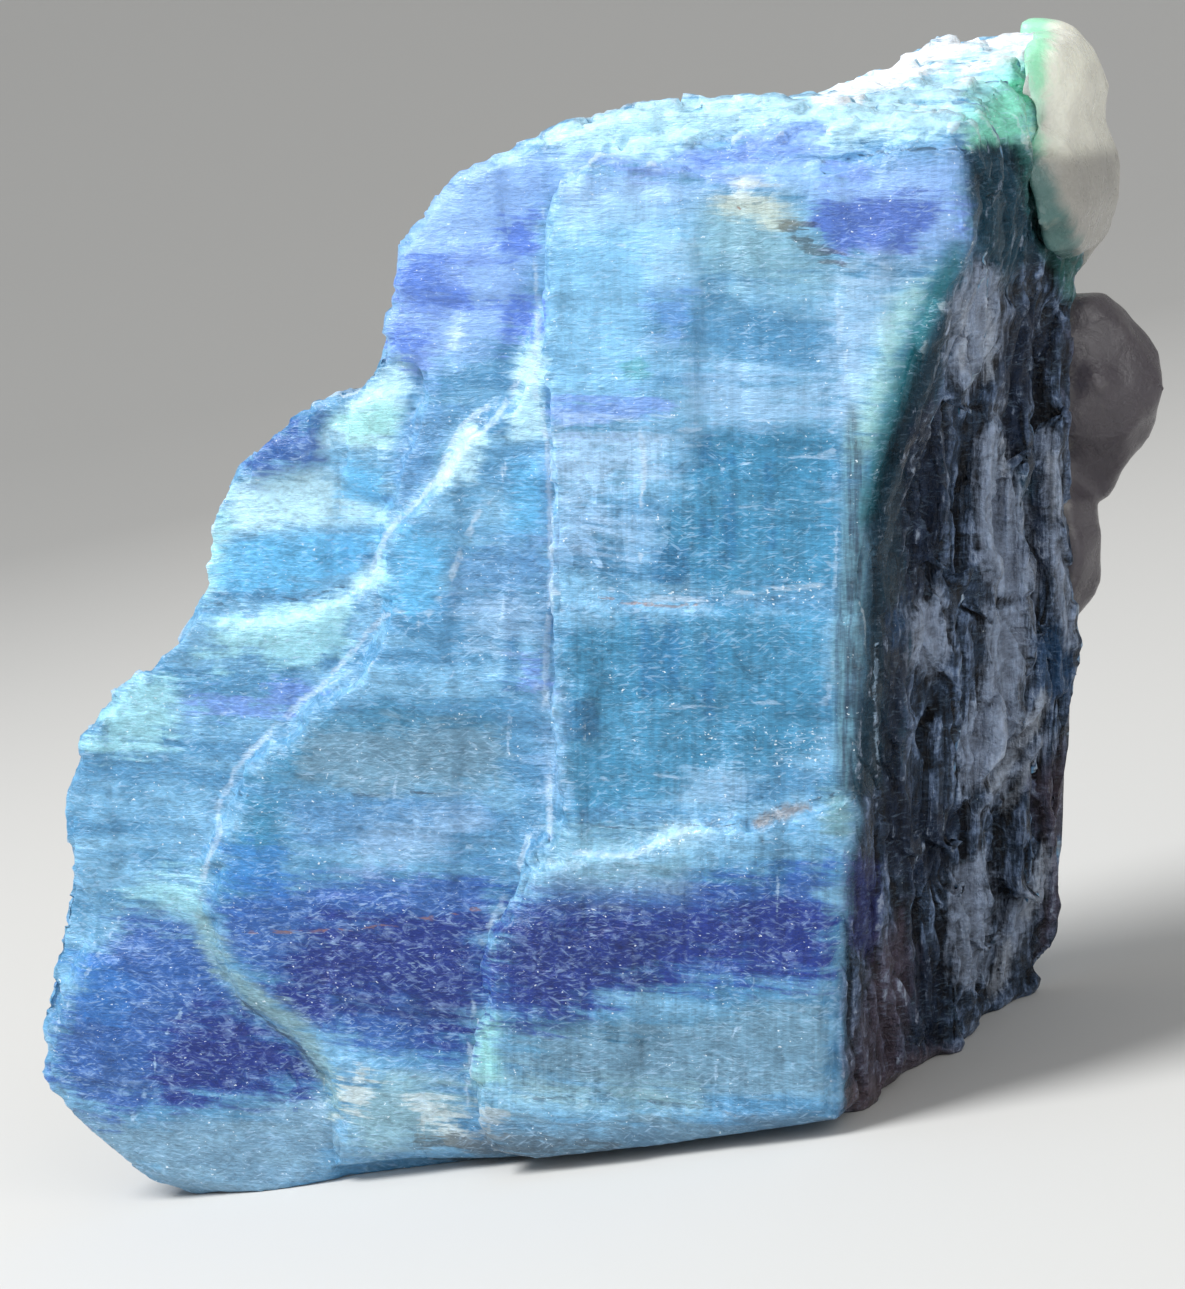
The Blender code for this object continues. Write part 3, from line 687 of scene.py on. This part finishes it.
# keeps how far inside an outline or from a line each point lies, in mm, where the camera sees it
def markZones(mesh, zones, lines):
    pairs = pairsOf(mesh)
    spots = spotsOf(mesh)
    calm = calmNormals(mesh, pairs)
    eye = np.array(toCrystal @ cameraMatrix().translation)
    sight = eye - spots
    sight /= np.linalg.norm(sight, axis=1)[:, None]
    facing = ease((calm * sight).sum(1), -0.35, -0.1)
    seen = pictureSpots(spots)
    scale = cameraView["lens"] / cameraView["sensor"] * cameraView["frame"][1]
    perMm = scale * mm / cameraView["distance"]
    far = 3   # in mm, and no outline counts beyond it
    for name, outlines in zones.items():
        depth = np.max([outlineDepth(seen, outline) for outline in outlines], axis=0) / perMm
        keep(mesh, name, np.clip(depth, -far, far) * facing - far * (1 - facing))
    for name, drawn in lines.items():
        away = np.min([lineDistance(seen, line) for line in drawn], axis=0) / perMm
        keep(mesh, name, np.clip(away, 0, far) * facing + far * (1 - facing))
    keep(mesh, "hidden", 1 - facing)
    keep(mesh, "side", ease(calm[:, 0], 0.3, 0.6))
    keep(mesh, "top", ease(calm[:, 2], 0.35, 0.65))


# each tint: its colour, how soft its edge is in mm, how much of it shows and how ragged its edge is
kyaniteTints = {
    "lilac": (rgb(150, 190, 248), 0.7, 0.9, 1.0),
    "sky": (rgb(138, 200, 242), 0.9, 0.85, 1.0),
    "ice": (rgb(184, 228, 248), 0.3, 0.95, 0.8),
    "white": (rgb(240, 246, 252), 0.2, 0.95, 0.8),
    "mint": (rgb(160, 218, 230), 0.4, 0.75, 1.2),
    "aqua": (rgb(160, 226, 224), 0.3, 0.75, 0.8),
    "cyan": (rgb(100, 182, 232), 0.35, 0.85, 0.8),
    "slate": (rgb(92, 144, 194), 0.4, 0.75, 1.0),
    "teal": (rgb(58, 132, 172), 0.4, 0.85, 1.0),
    "dusty": (rgb(122, 150, 168), 0.5, 0.6, 1.4),
    "royal": (rgb(42, 86, 164), 0.5, 0.88, 1.3),
    "periwinkle": (rgb(112, 146, 222), 0.25, 0.72, 1.2),
    "column": (rgb(40, 108, 160), 0.1, 0.5, 0.25),
    # frost and lavender: whitish haze, partly painted sheen
    "frost": (rgb(176, 208, 238), 0.5, 0.34, 1.8),
    "indigo": (rgb(26, 40, 122), 0.55, 0.86, 1.5),
    "olive": (rgb(150, 190, 192), 0.8, 0.42, 1.2),
    "vein": (rgb(134, 172, 176), 0.25, 0.75, 0.8),
    "rimGreen": (rgb(166, 214, 206), 0.4, 0.65, 0.8),
    "pool": (rgb(76, 118, 214), 0.3, 0.65, 1.2),
    "pearl": (rgb(196, 228, 244), 0.15, 0.75, 0.6),
    "deepBlue": (rgb(74, 106, 190), 0.25, 0.9, 0.8),
    "spotBlue": (rgb(60, 128, 206), 0.4, 0.6, 1.2),
    "spotGreen": (rgb(56, 150, 146), 0.15, 0.5, 0.5),
    "yellow": (rgb(222, 224, 196), 0.35, 0.5, 1.0),
    "moss": (rgb(112, 144, 124), 0.4, 0.5, 0.9),
    "lavender": (rgb(172, 202, 238), 0.6, 0.36, 1.8),
    "crust": (rgb(214, 224, 224), 0.25, 0.6, 1.6),
    # the colours of the painted shade in the hollow and under the base lip
    "pitShade": (rgb(56, 62, 66), 0.12, 0.65, 1.1),
    "baseLipShade": (rgb(84, 104, 120), 0.3, 0.6, 1.0),
    "emerald": (rgb(136, 226, 200), 0.4, 0.95, 0.6),
    "cream": (rgb(214, 232, 206), 0.3, 0.9, 0.6),
}
# the right side's tints: partly its own dark slate and teal, partly painted shade of a side turned
# from the light; tealRim and deepTeal darken across the rounded edge as painted shading
kyaniteSideTints = {
    "bevel": (rgb(104, 150, 168), 0.22, 0.8, 0.5),
    "tealRim": (rgb(24, 112, 124), 0.35, 0.9, 0.5),
    "deepTeal": (rgb(0, 40, 58), 0.35, 0.98, 0.5),
    "slateDark": (rgb(36, 52, 72), 0.3, 1.0, 0.45),
    "inkTeal": (rgb(16, 62, 82), 0.3, 0.9, 1.0),
    "navy": (rgb(10, 26, 50), 0.3, 0.85, 1.2),
    "seaGreen": (rgb(44, 104, 100), 0.3, 0.9, 0.6),
    "bluePatch": (rgb(26, 66, 104), 0.25, 0.8, 1.0),
    # silver and bright: partly painted highlight of facets that face the light
    "silver": (rgb(148, 162, 186), 0.25, 0.8, 1.2),
    "violet": (rgb(32, 38, 100), 0.25, 0.7, 1.2),
    "bright": (rgb(176, 186, 202), 0.12, 0.7, 0.5),
    "tan": (rgb(124, 106, 98), 0.3, 0.6, 1.2),
    "brown": (rgb(78, 66, 78), 0.4, 0.75, 1.2),
    "stain": (rgb(132, 98, 56), 0.15, 0.6, 0.6),
}

kyaniteLook = {
    "steel": rgb(88, 148, 192),
    "pale": rgb(124, 180, 218),
    "dark": rgb(66, 128, 170),
    # white of the painted glints and the painted edge highlights
    "haze": rgb(178, 210, 240),
    "white": rgb(232, 244, 253),
    "crack": rgb(50, 66, 84),
    # colour of the painted shade in the side's hollows
    "hollowShade": rgb(12, 18, 30),
    # lighter slate and bright colour of the painted highlights on the side's ridges
    "slateLight": rgb(98, 118, 150),
    "ridgeHighlight": rgb(180, 196, 220),
    "hairShare": (0.12, 0.42),   # how much the fine pale scratches show, at least and at most
    "mistShare": 0.28,
    "shineShare": 0.85,
    "ridgeHighlightShare": 0.7,
    "edgeHighlightShare": 0.3,
    "roughness": (0.24, 0.46),
    "specular": 0.32,
    "glow": 0.08,                # how much light goes in, and how deep in mm
    "glowDepth": 0.4,
    "bumpStrength": 0.8,
    "bumpDepth": 0.13,
}

# each kind of line: its colour, half its width in mm and how much of it shows
kyaniteInk = {
    "paleLine": (rgb(192, 216, 238), 0.13, 0.65),
    "thinLine": (kyaniteLook["haze"], 0.075, 0.7),
    "brownLine": (rgb(150, 112, 92), 0.07, 0.75),
    "darkLine": (kyaniteLook["crack"], 0.07, 0.75),
}

# each noise: how often it changes to the right, back and up per mm, then detail, roughness and warp
kyaniteGrain = {
    "bands": ((0.16, 0.5, 1.1), 4, 0.55, 0.0),      # across the blades
    "threads": ((1.1, 1.3, 10.0), 4, 0.65, 0.0),    # fine fibres across the blades
    "streaks": ((0.3, 0.6, 3.2), 3, 0.6, 0.0),
    "mottle": ((0.8, 0.8, 0.9), 5, 0.62, 0.0),
    "blotch": ((2.4, 2.4, 4.0), 4, 0.65, 0.6),
}
kyaniteStraightGrain = {
    "uprights": ((7.0, 5.0, 0.5), 3, 0.6, 0.0),     # fine lines along the blades
    "speck": ((7.0, 7.0, 10.0), 2, 0.6, 0.0),
}
kyaniteScratches = {                                # and how many degrees they lean
    "strokes": ((2.6, 2.6, 13.0), 8),
    "crossing": ((2.2, 2.2, 11.0), -24),
    "leaning": ((2.4, 2.4, 12.0), 34),
}
kyanitePatches = {"large": (0.75, 0.75, 0.3), "small": (2.2, 2.2, 1.4)}

# how strongly each noise takes part in the ragged edges, the splinters, the texture and the height
kyaniteEdges = {"threads": 1.1, "mottle": 0.8, "streaks": 1.6, "large": 0.2, "small": 0.2}
kyaniteSideEdges = {"blotch": 0.4, "uprights": 0.7, "fibres": 0.9}
kyaniteSplinters = {"fibres": 2.4, "uprights": 1.0, "blotch": 0.9}
kyaniteWeave = {"strokes": 0.3, "leaning": 0.45, "crossing": 0.45, "threads": 0.36, "streaks": 0.35,
                "mottle": 0.5, "blotch": 1.05, "speck": 0.3}
kyaniteSlabWeave = {"large": 0.16, "small": 0.2, "uprights": 0.7}
kyaniteHeight = {"threads": 0.4, "strokes": 0.3, "blotch": 0.5}
kyaniteSideHeight = {"fibres": 3.5, "blotch": 1.5, "uprights": 1.5}


def wavy(tree, place, often, reach):   # the same place pushed about, so that straight patterns bend
    node = made(tree, "TexNoise", Vector=place, Scale=often, Detail=1.0)
    push = tree.nodes.new("ShaderNodeVectorMath")
    push.operation = "MULTIPLY_ADD"
    for socket, value in zip(push.inputs, (node.outputs["Color"], (reach, reach, reach), place)):
        feed(tree, socket, value)
    return push.outputs[0]


def scratched(tree, place, stretch, tilt):   # short fine lines, tilt degrees from the level
    turn = (0, math.radians(tilt), 0)
    turned = made(tree, "Mapping", Vector=wavy(tree, place, 1.1, 0.22), Rotation=turn)
    return grain(tree, turned.outputs[0], stretch, 2, 0.6)


def patches(tree, place, stretch):   # a value of its own for each roughly square patch
    drawn = made(tree, "Mapping", Vector=place, Scale=stretch).outputs[0]
    node = made(tree, "TexVoronoi", Vector=drawn, Scale=1.0, Randomness=0.75)
    node.distance = "CHEBYCHEV"
    return made(tree, "SeparateColor", Color=node.outputs["Color"]).outputs[0]


def lift(tree, value, strength, base=0.0):   # adds strength times how far a noise is from its middle
    if isinstance(base, bpy.types.NodeSocket):
        base = calc(tree, "SUBTRACT", base, 0.5 * strength)
    else:
        base -= 0.5 * strength
    return calc(tree, "MULTIPLY_ADD", value, strength, base)


def mixed(tree, noises, strengths, base=0.0):   # several noises on top of each other
    for name, strength in strengths.items():
        base = lift(tree, noises[name], strength, base)
    return base


def kyaniteNoises(tree):
    straight = crystalPlace(tree)
    place = wavy(tree, straight, 0.4, 0.35)
    noises = {name: grain(tree, place, *drawn) for name, drawn in kyaniteGrain.items()}
    noises |= {name: grain(tree, straight, *drawn) for name, drawn in kyaniteStraightGrain.items()}
    noises |= {name: scratched(tree, straight, *drawn) for name, drawn in kyaniteScratches.items()}
    noises |= {name: patches(tree, place, stretch) for name, stretch in kyanitePatches.items()}
    noises["fibres"] = grain(tree, wavy(tree, straight, 0.5, 1.2), (2.4, 2.4, 0.7), 6, 0.72)
    return noises


def kyaniteHidden(tree, noises, splinters):   # the colour before the tints, also where none reach
    look, mottle = kyaniteLook, noises["mottle"]
    hidden = field(tree, "hidden")
    colour = blend(tree, fade(tree, noises["bands"], 0.4, 0.6), look["steel"], look["pale"])
    colour = blend(tree, fade(tree, mottle, 0.45, 0.65, 0.0, 0.6), colour, look["dark"])
    patchy = mixed(tree, noises, {"threads": 0.2, "mottle": 0.3}, noises["bands"])
    unseen = times(tree, hidden, fade(tree, patchy, 0.45, 0.72, 0.0, 0.75))
    colour = blend(tree, unseen, colour, kyaniteTints["royal"][0])
    # painted highlight: hidden faces that look up turn pale ice blue
    litTop = blend(tree, fade(tree, mottle, 0.35, 0.65), kyaniteTints["sky"][0], kyaniteTints["ice"][0])
    colour = blend(tree, times(tree, hidden, field(tree, "top")), colour, litTop)
    # hidden side: painted shade in the hollows, painted highlight on the ridges
    slaty = blend(tree, fade(tree, splinters, 0.0, 0.9), look["hollowShade"], look["slateLight"])
    return blend(tree, times(tree, hidden, field(tree, "side")), colour, slaty)


def kyaniteTinted(tree, noises, splinters):   # each tint within its outlines
    look = kyaniteLook
    colour = kyaniteHidden(tree, noises, splinters)
    for tints, strengths in ((kyaniteTints, kyaniteEdges), (kyaniteSideTints, kyaniteSideEdges)):
        edges = mixed(tree, noises, strengths)
        for name, (tint, soft, share, ragged) in tints.items():
            inside = calc(tree, "MULTIPLY_ADD", edges, ragged, field(tree, name))
            inside = fade(tree, inside, -soft, soft, 0.0, share)
            if name == "bevel":
                tint = blend(tree, fade(tree, noises["uprights"], 0.3, 0.7), look["crack"], tint)
            # painted shade in the hollows and painted highlight on the ridges of the dark side
            if name == "slateDark":
                tint = blend(tree, fade(tree, splinters, 0.0, 0.5), look["hollowShade"], tint)
                tint = blend(tree, fade(tree, splinters, 0.5, 1.0), tint, look["slateLight"])
            colour = blend(tree, inside, colour, tint)
    return colour


def kyaniteWoven(tree, noises, colour, crests, onSide):   # fibres, lines and patches over the tints
    weave = mixed(tree, noises, kyaniteWeave)
    onSlab = fade(tree, field(tree, "slab"), -0.3, 0.3, 0.25, 1.0)
    blocks = times(tree, mixed(tree, noises, kyaniteSlabWeave), onSlab)
    weave = calc(tree, "ADD", blocks, weave)
    calmer = fade(tree, field(tree, "calm"), -0.5, 0.5, 1.0, 0.6)
    weave = calc(tree, "MULTIPLY_ADD", weave, calmer, 0.99)
    # painted highlight: the side's crests made lighter
    weave = calc(tree, "MULTIPLY_ADD", times(tree, crests, onSide), 4.0, weave)
    return shade(tree, colour, weave)


def kyaniteScratched(tree, noises, colour, onSide):   # fine pale scratches, and mist over royal blue
    hair = fade(tree, noises["strokes"], 0.58, 0.68)
    for name in ("crossing", "leaning"):
        hair = calc(tree, "MAXIMUM", hair, fade(tree, noises[name], 0.6, 0.7, 0.0, 0.8))
    some = fade(tree, noises["mottle"], 0.38, 0.62, *kyaniteLook["hairShare"])
    hair = times(tree, hair, some)
    hair = times(tree, hair, fade(tree, field(tree, "bevel"), -0.3, 0.2, 1.0, 0.15))
    hair = times(tree, hair, calc(tree, "MULTIPLY_ADD", onSide, -0.7, 1.0))
    colour = blend(tree, hair, colour, kyaniteLook["haze"])
    mist = fade(tree, noises["blotch"], 0.5, 0.72, 0.0, kyaniteLook["mistShare"])
    mist = times(tree, mist, fade(tree, field(tree, "royal"), -0.3, 0.5))
    return blend(tree, mist, colour, kyaniteLook["haze"])


def kyaniteLit(tree, noises, colour, splinters, onSide):   # painted glints, painted highlights on the side's ridges and painted highlights on convex edges
    look, speck = kyaniteLook, noises["speck"]
    # painted glints: white specks, more of them in the glint outlines and fewer on the side
    shine = calc(tree, "MULTIPLY_ADD", fade(tree, field(tree, "glint"), -0.1, 0.2), 0.07, speck)
    shine = calc(tree, "MULTIPLY_ADD", onSide, -0.06, shine)
    shine = fade(tree, shine, 0.69, 0.75, 0.0, look["shineShare"])
    colour = blend(tree, shine, colour, look["white"])
    # painted highlights on the side's ridges
    ridgeHighlights = fade(tree, splinters, 0.85, 1.3, 0.0, look["ridgeHighlightShare"])
    colour = blend(tree, times(tree, ridgeHighlights, onSide), colour, look["ridgeHighlight"])
    # painted highlight: convex edges turned pale
    edgeHighlight = fade(tree, lift(tree, speck, 0.08, field(tree, "edge")), 0.07, 0.11, 0.0, look["edgeHighlightShare"])
    edgeHighlight = times(tree, edgeHighlight, calc(tree, "SUBTRACT", 1.0, onSide))
    return blend(tree, edgeHighlight, colour, look["white"])


def kyaniteMaterial():
    material, tree, shader = newStone("kyanite_striated")
    look = kyaniteLook
    noises = kyaniteNoises(tree)
    # crests of the side, which carry its painted ridge highlights
    crests = calc(tree, "MAXIMUM", calc(tree, "MINIMUM", field(tree, "edge"), 0.035), -0.06)
    splinters = mixed(tree, noises, kyaniteSplinters, calc(tree, "MULTIPLY_ADD", crests, 7.0, 0.5))
    dark = calc(tree, "MAXIMUM", field(tree, "slateDark"), field(tree, "deepTeal"))
    onSide = fade(tree, dark, -0.1, 0.2)
    colour = kyaniteTinted(tree, noises, splinters)
    colour = kyaniteWoven(tree, noises, colour, crests, onSide)
    colour = kyaniteScratched(tree, noises, colour, onSide)
    colour = kyaniteLit(tree, noises, colour, splinters, onSide)
    broken = fade(tree, noises["blotch"], 0.36, 0.56, 0.4, 1.0)
    for name, (tint, wide, share) in kyaniteInk.items():
        away = mixed(tree, noises, {"blotch": 0.25, "threads": 0.2}, field(tree, name))
        inked = times(tree, fade(tree, away, wide, wide * 0.3, 0.0, share), broken)
        colour = blend(tree, inked, colour, tint)
    tree.links.new(colour, shader.inputs["Base Color"])
    roughness = fade(tree, noises["mottle"], 0.3, 0.7, *look["roughness"])
    tree.links.new(roughness, shader.inputs["Roughness"])
    shader.inputs["Specular IOR Level"].default_value = look["specular"]
    lightInside(shader, 1.55, look["glow"], (0.5, 0.8, 1.0), look["glowDepth"])
    height = mixed(tree, noises, kyaniteHeight)
    rough = mixed(tree, noises, kyaniteSideHeight)
    height = calc(tree, "MULTIPLY_ADD", rough, onSide, height)
    bump(tree, shader, height, look["bumpStrength"], look["bumpDepth"])
    return material


quartzShape = {
    "voxel": 0.17,
    "lump": 0.1,                 # how uneven the broken surface is, in mm
    "facet": 0.2,
    "seat": 0.5,                 # how far it reaches onto the kyanite
    "seamAt": (9.8, 7.0, 31.0),  # a point of the seam, and how it leans back and up
    "seamLean": (-0.033, -0.14),
    "seatFront": 7.25,
    "seatLow": 22.5,
}

quartzLook = {
    "grey": rgb(120, 116, 116),
    "milk": rgb(188, 186, 176),
    "vein": rgb(206, 204, 190),
    "glow": 0.5,                 # how much light goes in, and how deep in mm
    "glowDepth": 1.6,
    "bumpStrength": 0.5,
    "bumpDepth": 0.15,
}

# outlines and tints as on the kyanite: colour, how soft the edge is in mm and how much shows
quartzZones = {
    "cream": [
        path(1030, 10, 1110, 10, 1112, 150, 1070, 160, 1030, 150)],
    "facet": [
        path(1085, 70, 1110, 40, 1115, 140, 1108, 152, 1062, 148, 1068, 118)],
    "dusk": [
        path(1030, 158, 1120, 150, 1125, 300, 1030, 300)],
    "greyLumpShade": [
        # lower lump: grey quartz darkened further as painted shade
        path(1060, 286, 1180, 280, 1180, 620, 1060, 620)],
    "glow": [
        path(1000, 0, 1054, 12, 1046, 80, 1036, 124, 1044, 152, 1000, 160)],
    "shade": [
        path(1000, 146, 1040, 152, 1052, 180, 1066, 210, 1080, 242, 1082, 290, 1000, 300)],
}
quartzTints = {
    "cream": (rgb(248, 248, 232), 0.5, 0.95),
    "facet": (rgb(222, 221, 210), 0.2, 0.8),
    "dusk": (rgb(160, 158, 152), 0.5, 0.9),
    # dark lower lump: grey quartz darkened further as painted shade
    "greyLumpShade": (rgb(74, 69, 76), 0.5, 0.97),
    "glow": (rgb(150, 232, 190), 0.35, 0.9),
    "shade": (rgb(58, 112, 110), 0.3, 0.85),
}


def makeQuartz():
    mesh = remeshedCopy("quartz", quartzShape["voxel"])
    pairs = pairsOf(mesh)
    spots = smoothed(spotsOf(mesh), pairs, 2)
    settle(mesh, spots)
    normals = normalsOf(mesh)
    lumps = np.array([noise.fractal(Vector(spot) * 0.8, 0.9, 2.1, 4) for spot in spots])
    creases = np.array([abs(noise.noise(Vector(spot) * 0.42)) - 0.15 for spot in spots])
    moves = lumps * quartzShape["lump"] - creases * quartzShape["facet"]
    spots = spots + normals * moves[:, None]
    u, y, w = quartzShape["seamAt"]
    back, up = quartzShape["seamLean"]
    seam = spots[:, 0] - u - back * (spots[:, 1] - y) - up * (spots[:, 2] - w)
    onFace = (spots[:, 1] < quartzShape["seatFront"]) * (spots[:, 2] > quartzShape["seatLow"])
    spots[:, 0] -= quartzShape["seat"] * ease(-seam, -0.7, -0.3) * onFace
    spots[:, 1] -= quartzShape["seat"] * ease(-spots[:, 1], -7.7, -7.3) * (seam < 0.4)
    settle(mesh, smoothed(spots, pairs, 2))
    markZones(mesh, quartzZones, {})
    finishPiece(mesh, "quartz_crust", "quartz", quartzMaterial())


def quartzMaterial():
    material, tree, shader = newStone("quartz_milky")
    place = crystalPlace(tree)
    cloud = grain(tree, place, (0.45, 0.45, 0.45), 5)
    vein = grain(tree, place, (1.6, 1.6, 1.6), 6, 0.6, 0.6)
    fine = grain(tree, place, (8.0, 8.0, 8.0), 5, 0.65)
    colour = blend(tree, fade(tree, cloud, 0.35, 0.65), quartzLook["grey"], quartzLook["milk"])
    wander = lift(tree, vein, 0.9)
    for name, (tint, soft, share) in quartzTints.items():
        inside = fade(tree, calc(tree, "ADD", field(tree, name), wander), -soft, soft, 0.0, share)
        colour = blend(tree, inside, colour, tint)
    clear = fade(tree, field(tree, "greyLumpShade"), -0.3, 0.3, 0.3, 0.04)
    clear = times(tree, fade(tree, vein, 0.6, 0.72), clear)
    colour = blend(tree, clear, colour, quartzLook["vein"])
    colour = shade(tree, colour, lift(tree, fine, 0.3, 1.0))
    tree.links.new(colour, shader.inputs["Base Color"])
    tree.links.new(fade(tree, vein, 0.3, 0.7, 0.2, 0.42), shader.inputs["Roughness"])
    lightInside(shader, 1.54, quartzLook["glow"], (1.0, 0.95, 0.85), quartzLook["glowDepth"])
    height = calc(tree, "ADD", vein, times(tree, fine, 0.3))
    bump(tree, shader, height, quartzLook["bumpStrength"], quartzLook["bumpDepth"])
    return material


def finishPiece(mesh, name, node, material):
    mesh.transform(toWorld)
    mesh.name = name
    mesh.materials.clear()
    mesh.materials.append(material)
    mesh.shade_smooth()
    piece = placed(name, mesh)
    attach(piece, "root")
    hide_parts(node)
    print(name, "has", len(mesh.vertices), "vertices")


studio = {
    "floorColour": rgb(205, 205, 203),
    "keyPower": 1.1,
    "fillPower": 0.42,
    "worldStrength": 0.4,
}


def makeFloor():   # a wide dish, so that no horizon shows
    bm = bmesh.new()
    profile = [(0.0, 0.0), (0.3, 0.0)] + [(0.3 + 0.35 * math.sin(a), 0.35 - 0.35 * math.cos(a))
                                         for a in (0.2, 0.4, 0.6, 0.8, 1.0, 1.2)]
    corners = [bm.verts.new((x, 0, z)) for x, z in profile]
    edges = [bm.edges.new(pair) for pair in zip(corners, corners[1:])]
    bmesh.ops.spin(bm, geom=corners + edges, axis=(0, 0, 1), cent=(0, 0, 0), steps=64,
                   angle=math.tau, use_merge=True)
    bmesh.ops.remove_doubles(bm, verts=bm.verts, dist=0.00001)
    bmesh.ops.recalc_face_normals(bm, faces=bm.faces)
    mesh = bpy.data.meshes.new("studio_floor")
    bm.to_mesh(mesh)
    bm.free()
    mesh.shade_smooth()
    floor = placed("studio_floor", mesh)
    material, tree, shader = newStone("studio_paper")
    shader.inputs["Base Color"].default_value = studio["floorColour"]
    shader.inputs["Roughness"].default_value = 0.9
    mesh.materials.append(material)


def makeLamp(name, toward, away, size, power):   # an area lamp that looks at the stone
    lamp = bpy.data.lights.new(name, "AREA")
    lamp.shape = "DISK"
    lamp.size = size
    lamp.energy = power
    held = placed(name, lamp)
    direction = Vector(toward).normalized()
    held.location = Vector((0, 0, 0.014)) + direction * away
    held.rotation_euler = direction.to_track_quat("Z", "Y").to_euler()


def makeStudio():
    makeFloor()
    makeLamp("key", (-0.62, -0.42, 0.95), 0.3, 0.16, studio["keyPower"])
    makeLamp("fill", (0.9, -0.9, 0.5), 0.35, 0.25, studio["fillPower"])
    world = bpy.data.worlds.new("studio")
    world.use_nodes = True
    world.node_tree.nodes["Background"].inputs["Color"].default_value = (1, 1, 1, 1)
    world.node_tree.nodes["Background"].inputs["Strength"].default_value = studio["worldStrength"]
    bpy.context.scene.world = world
    bpy.context.scene.view_settings.view_transform = "Standard"
    camera = bpy.data.cameras.new("camera")
    camera.lens = cameraView["lens"]
    camera.sensor_width = cameraView["sensor"]
    camera.clip_start = 0.001
    camera.clip_end = 10
    held = placed("camera", camera)
    held.matrix_world = cameraMatrix()
    bpy.context.scene.camera = held


print("shaping the kyanite")
makeKyanite()
print("shaping the quartz")
makeQuartz()
print("setting up the studio")
makeStudio()
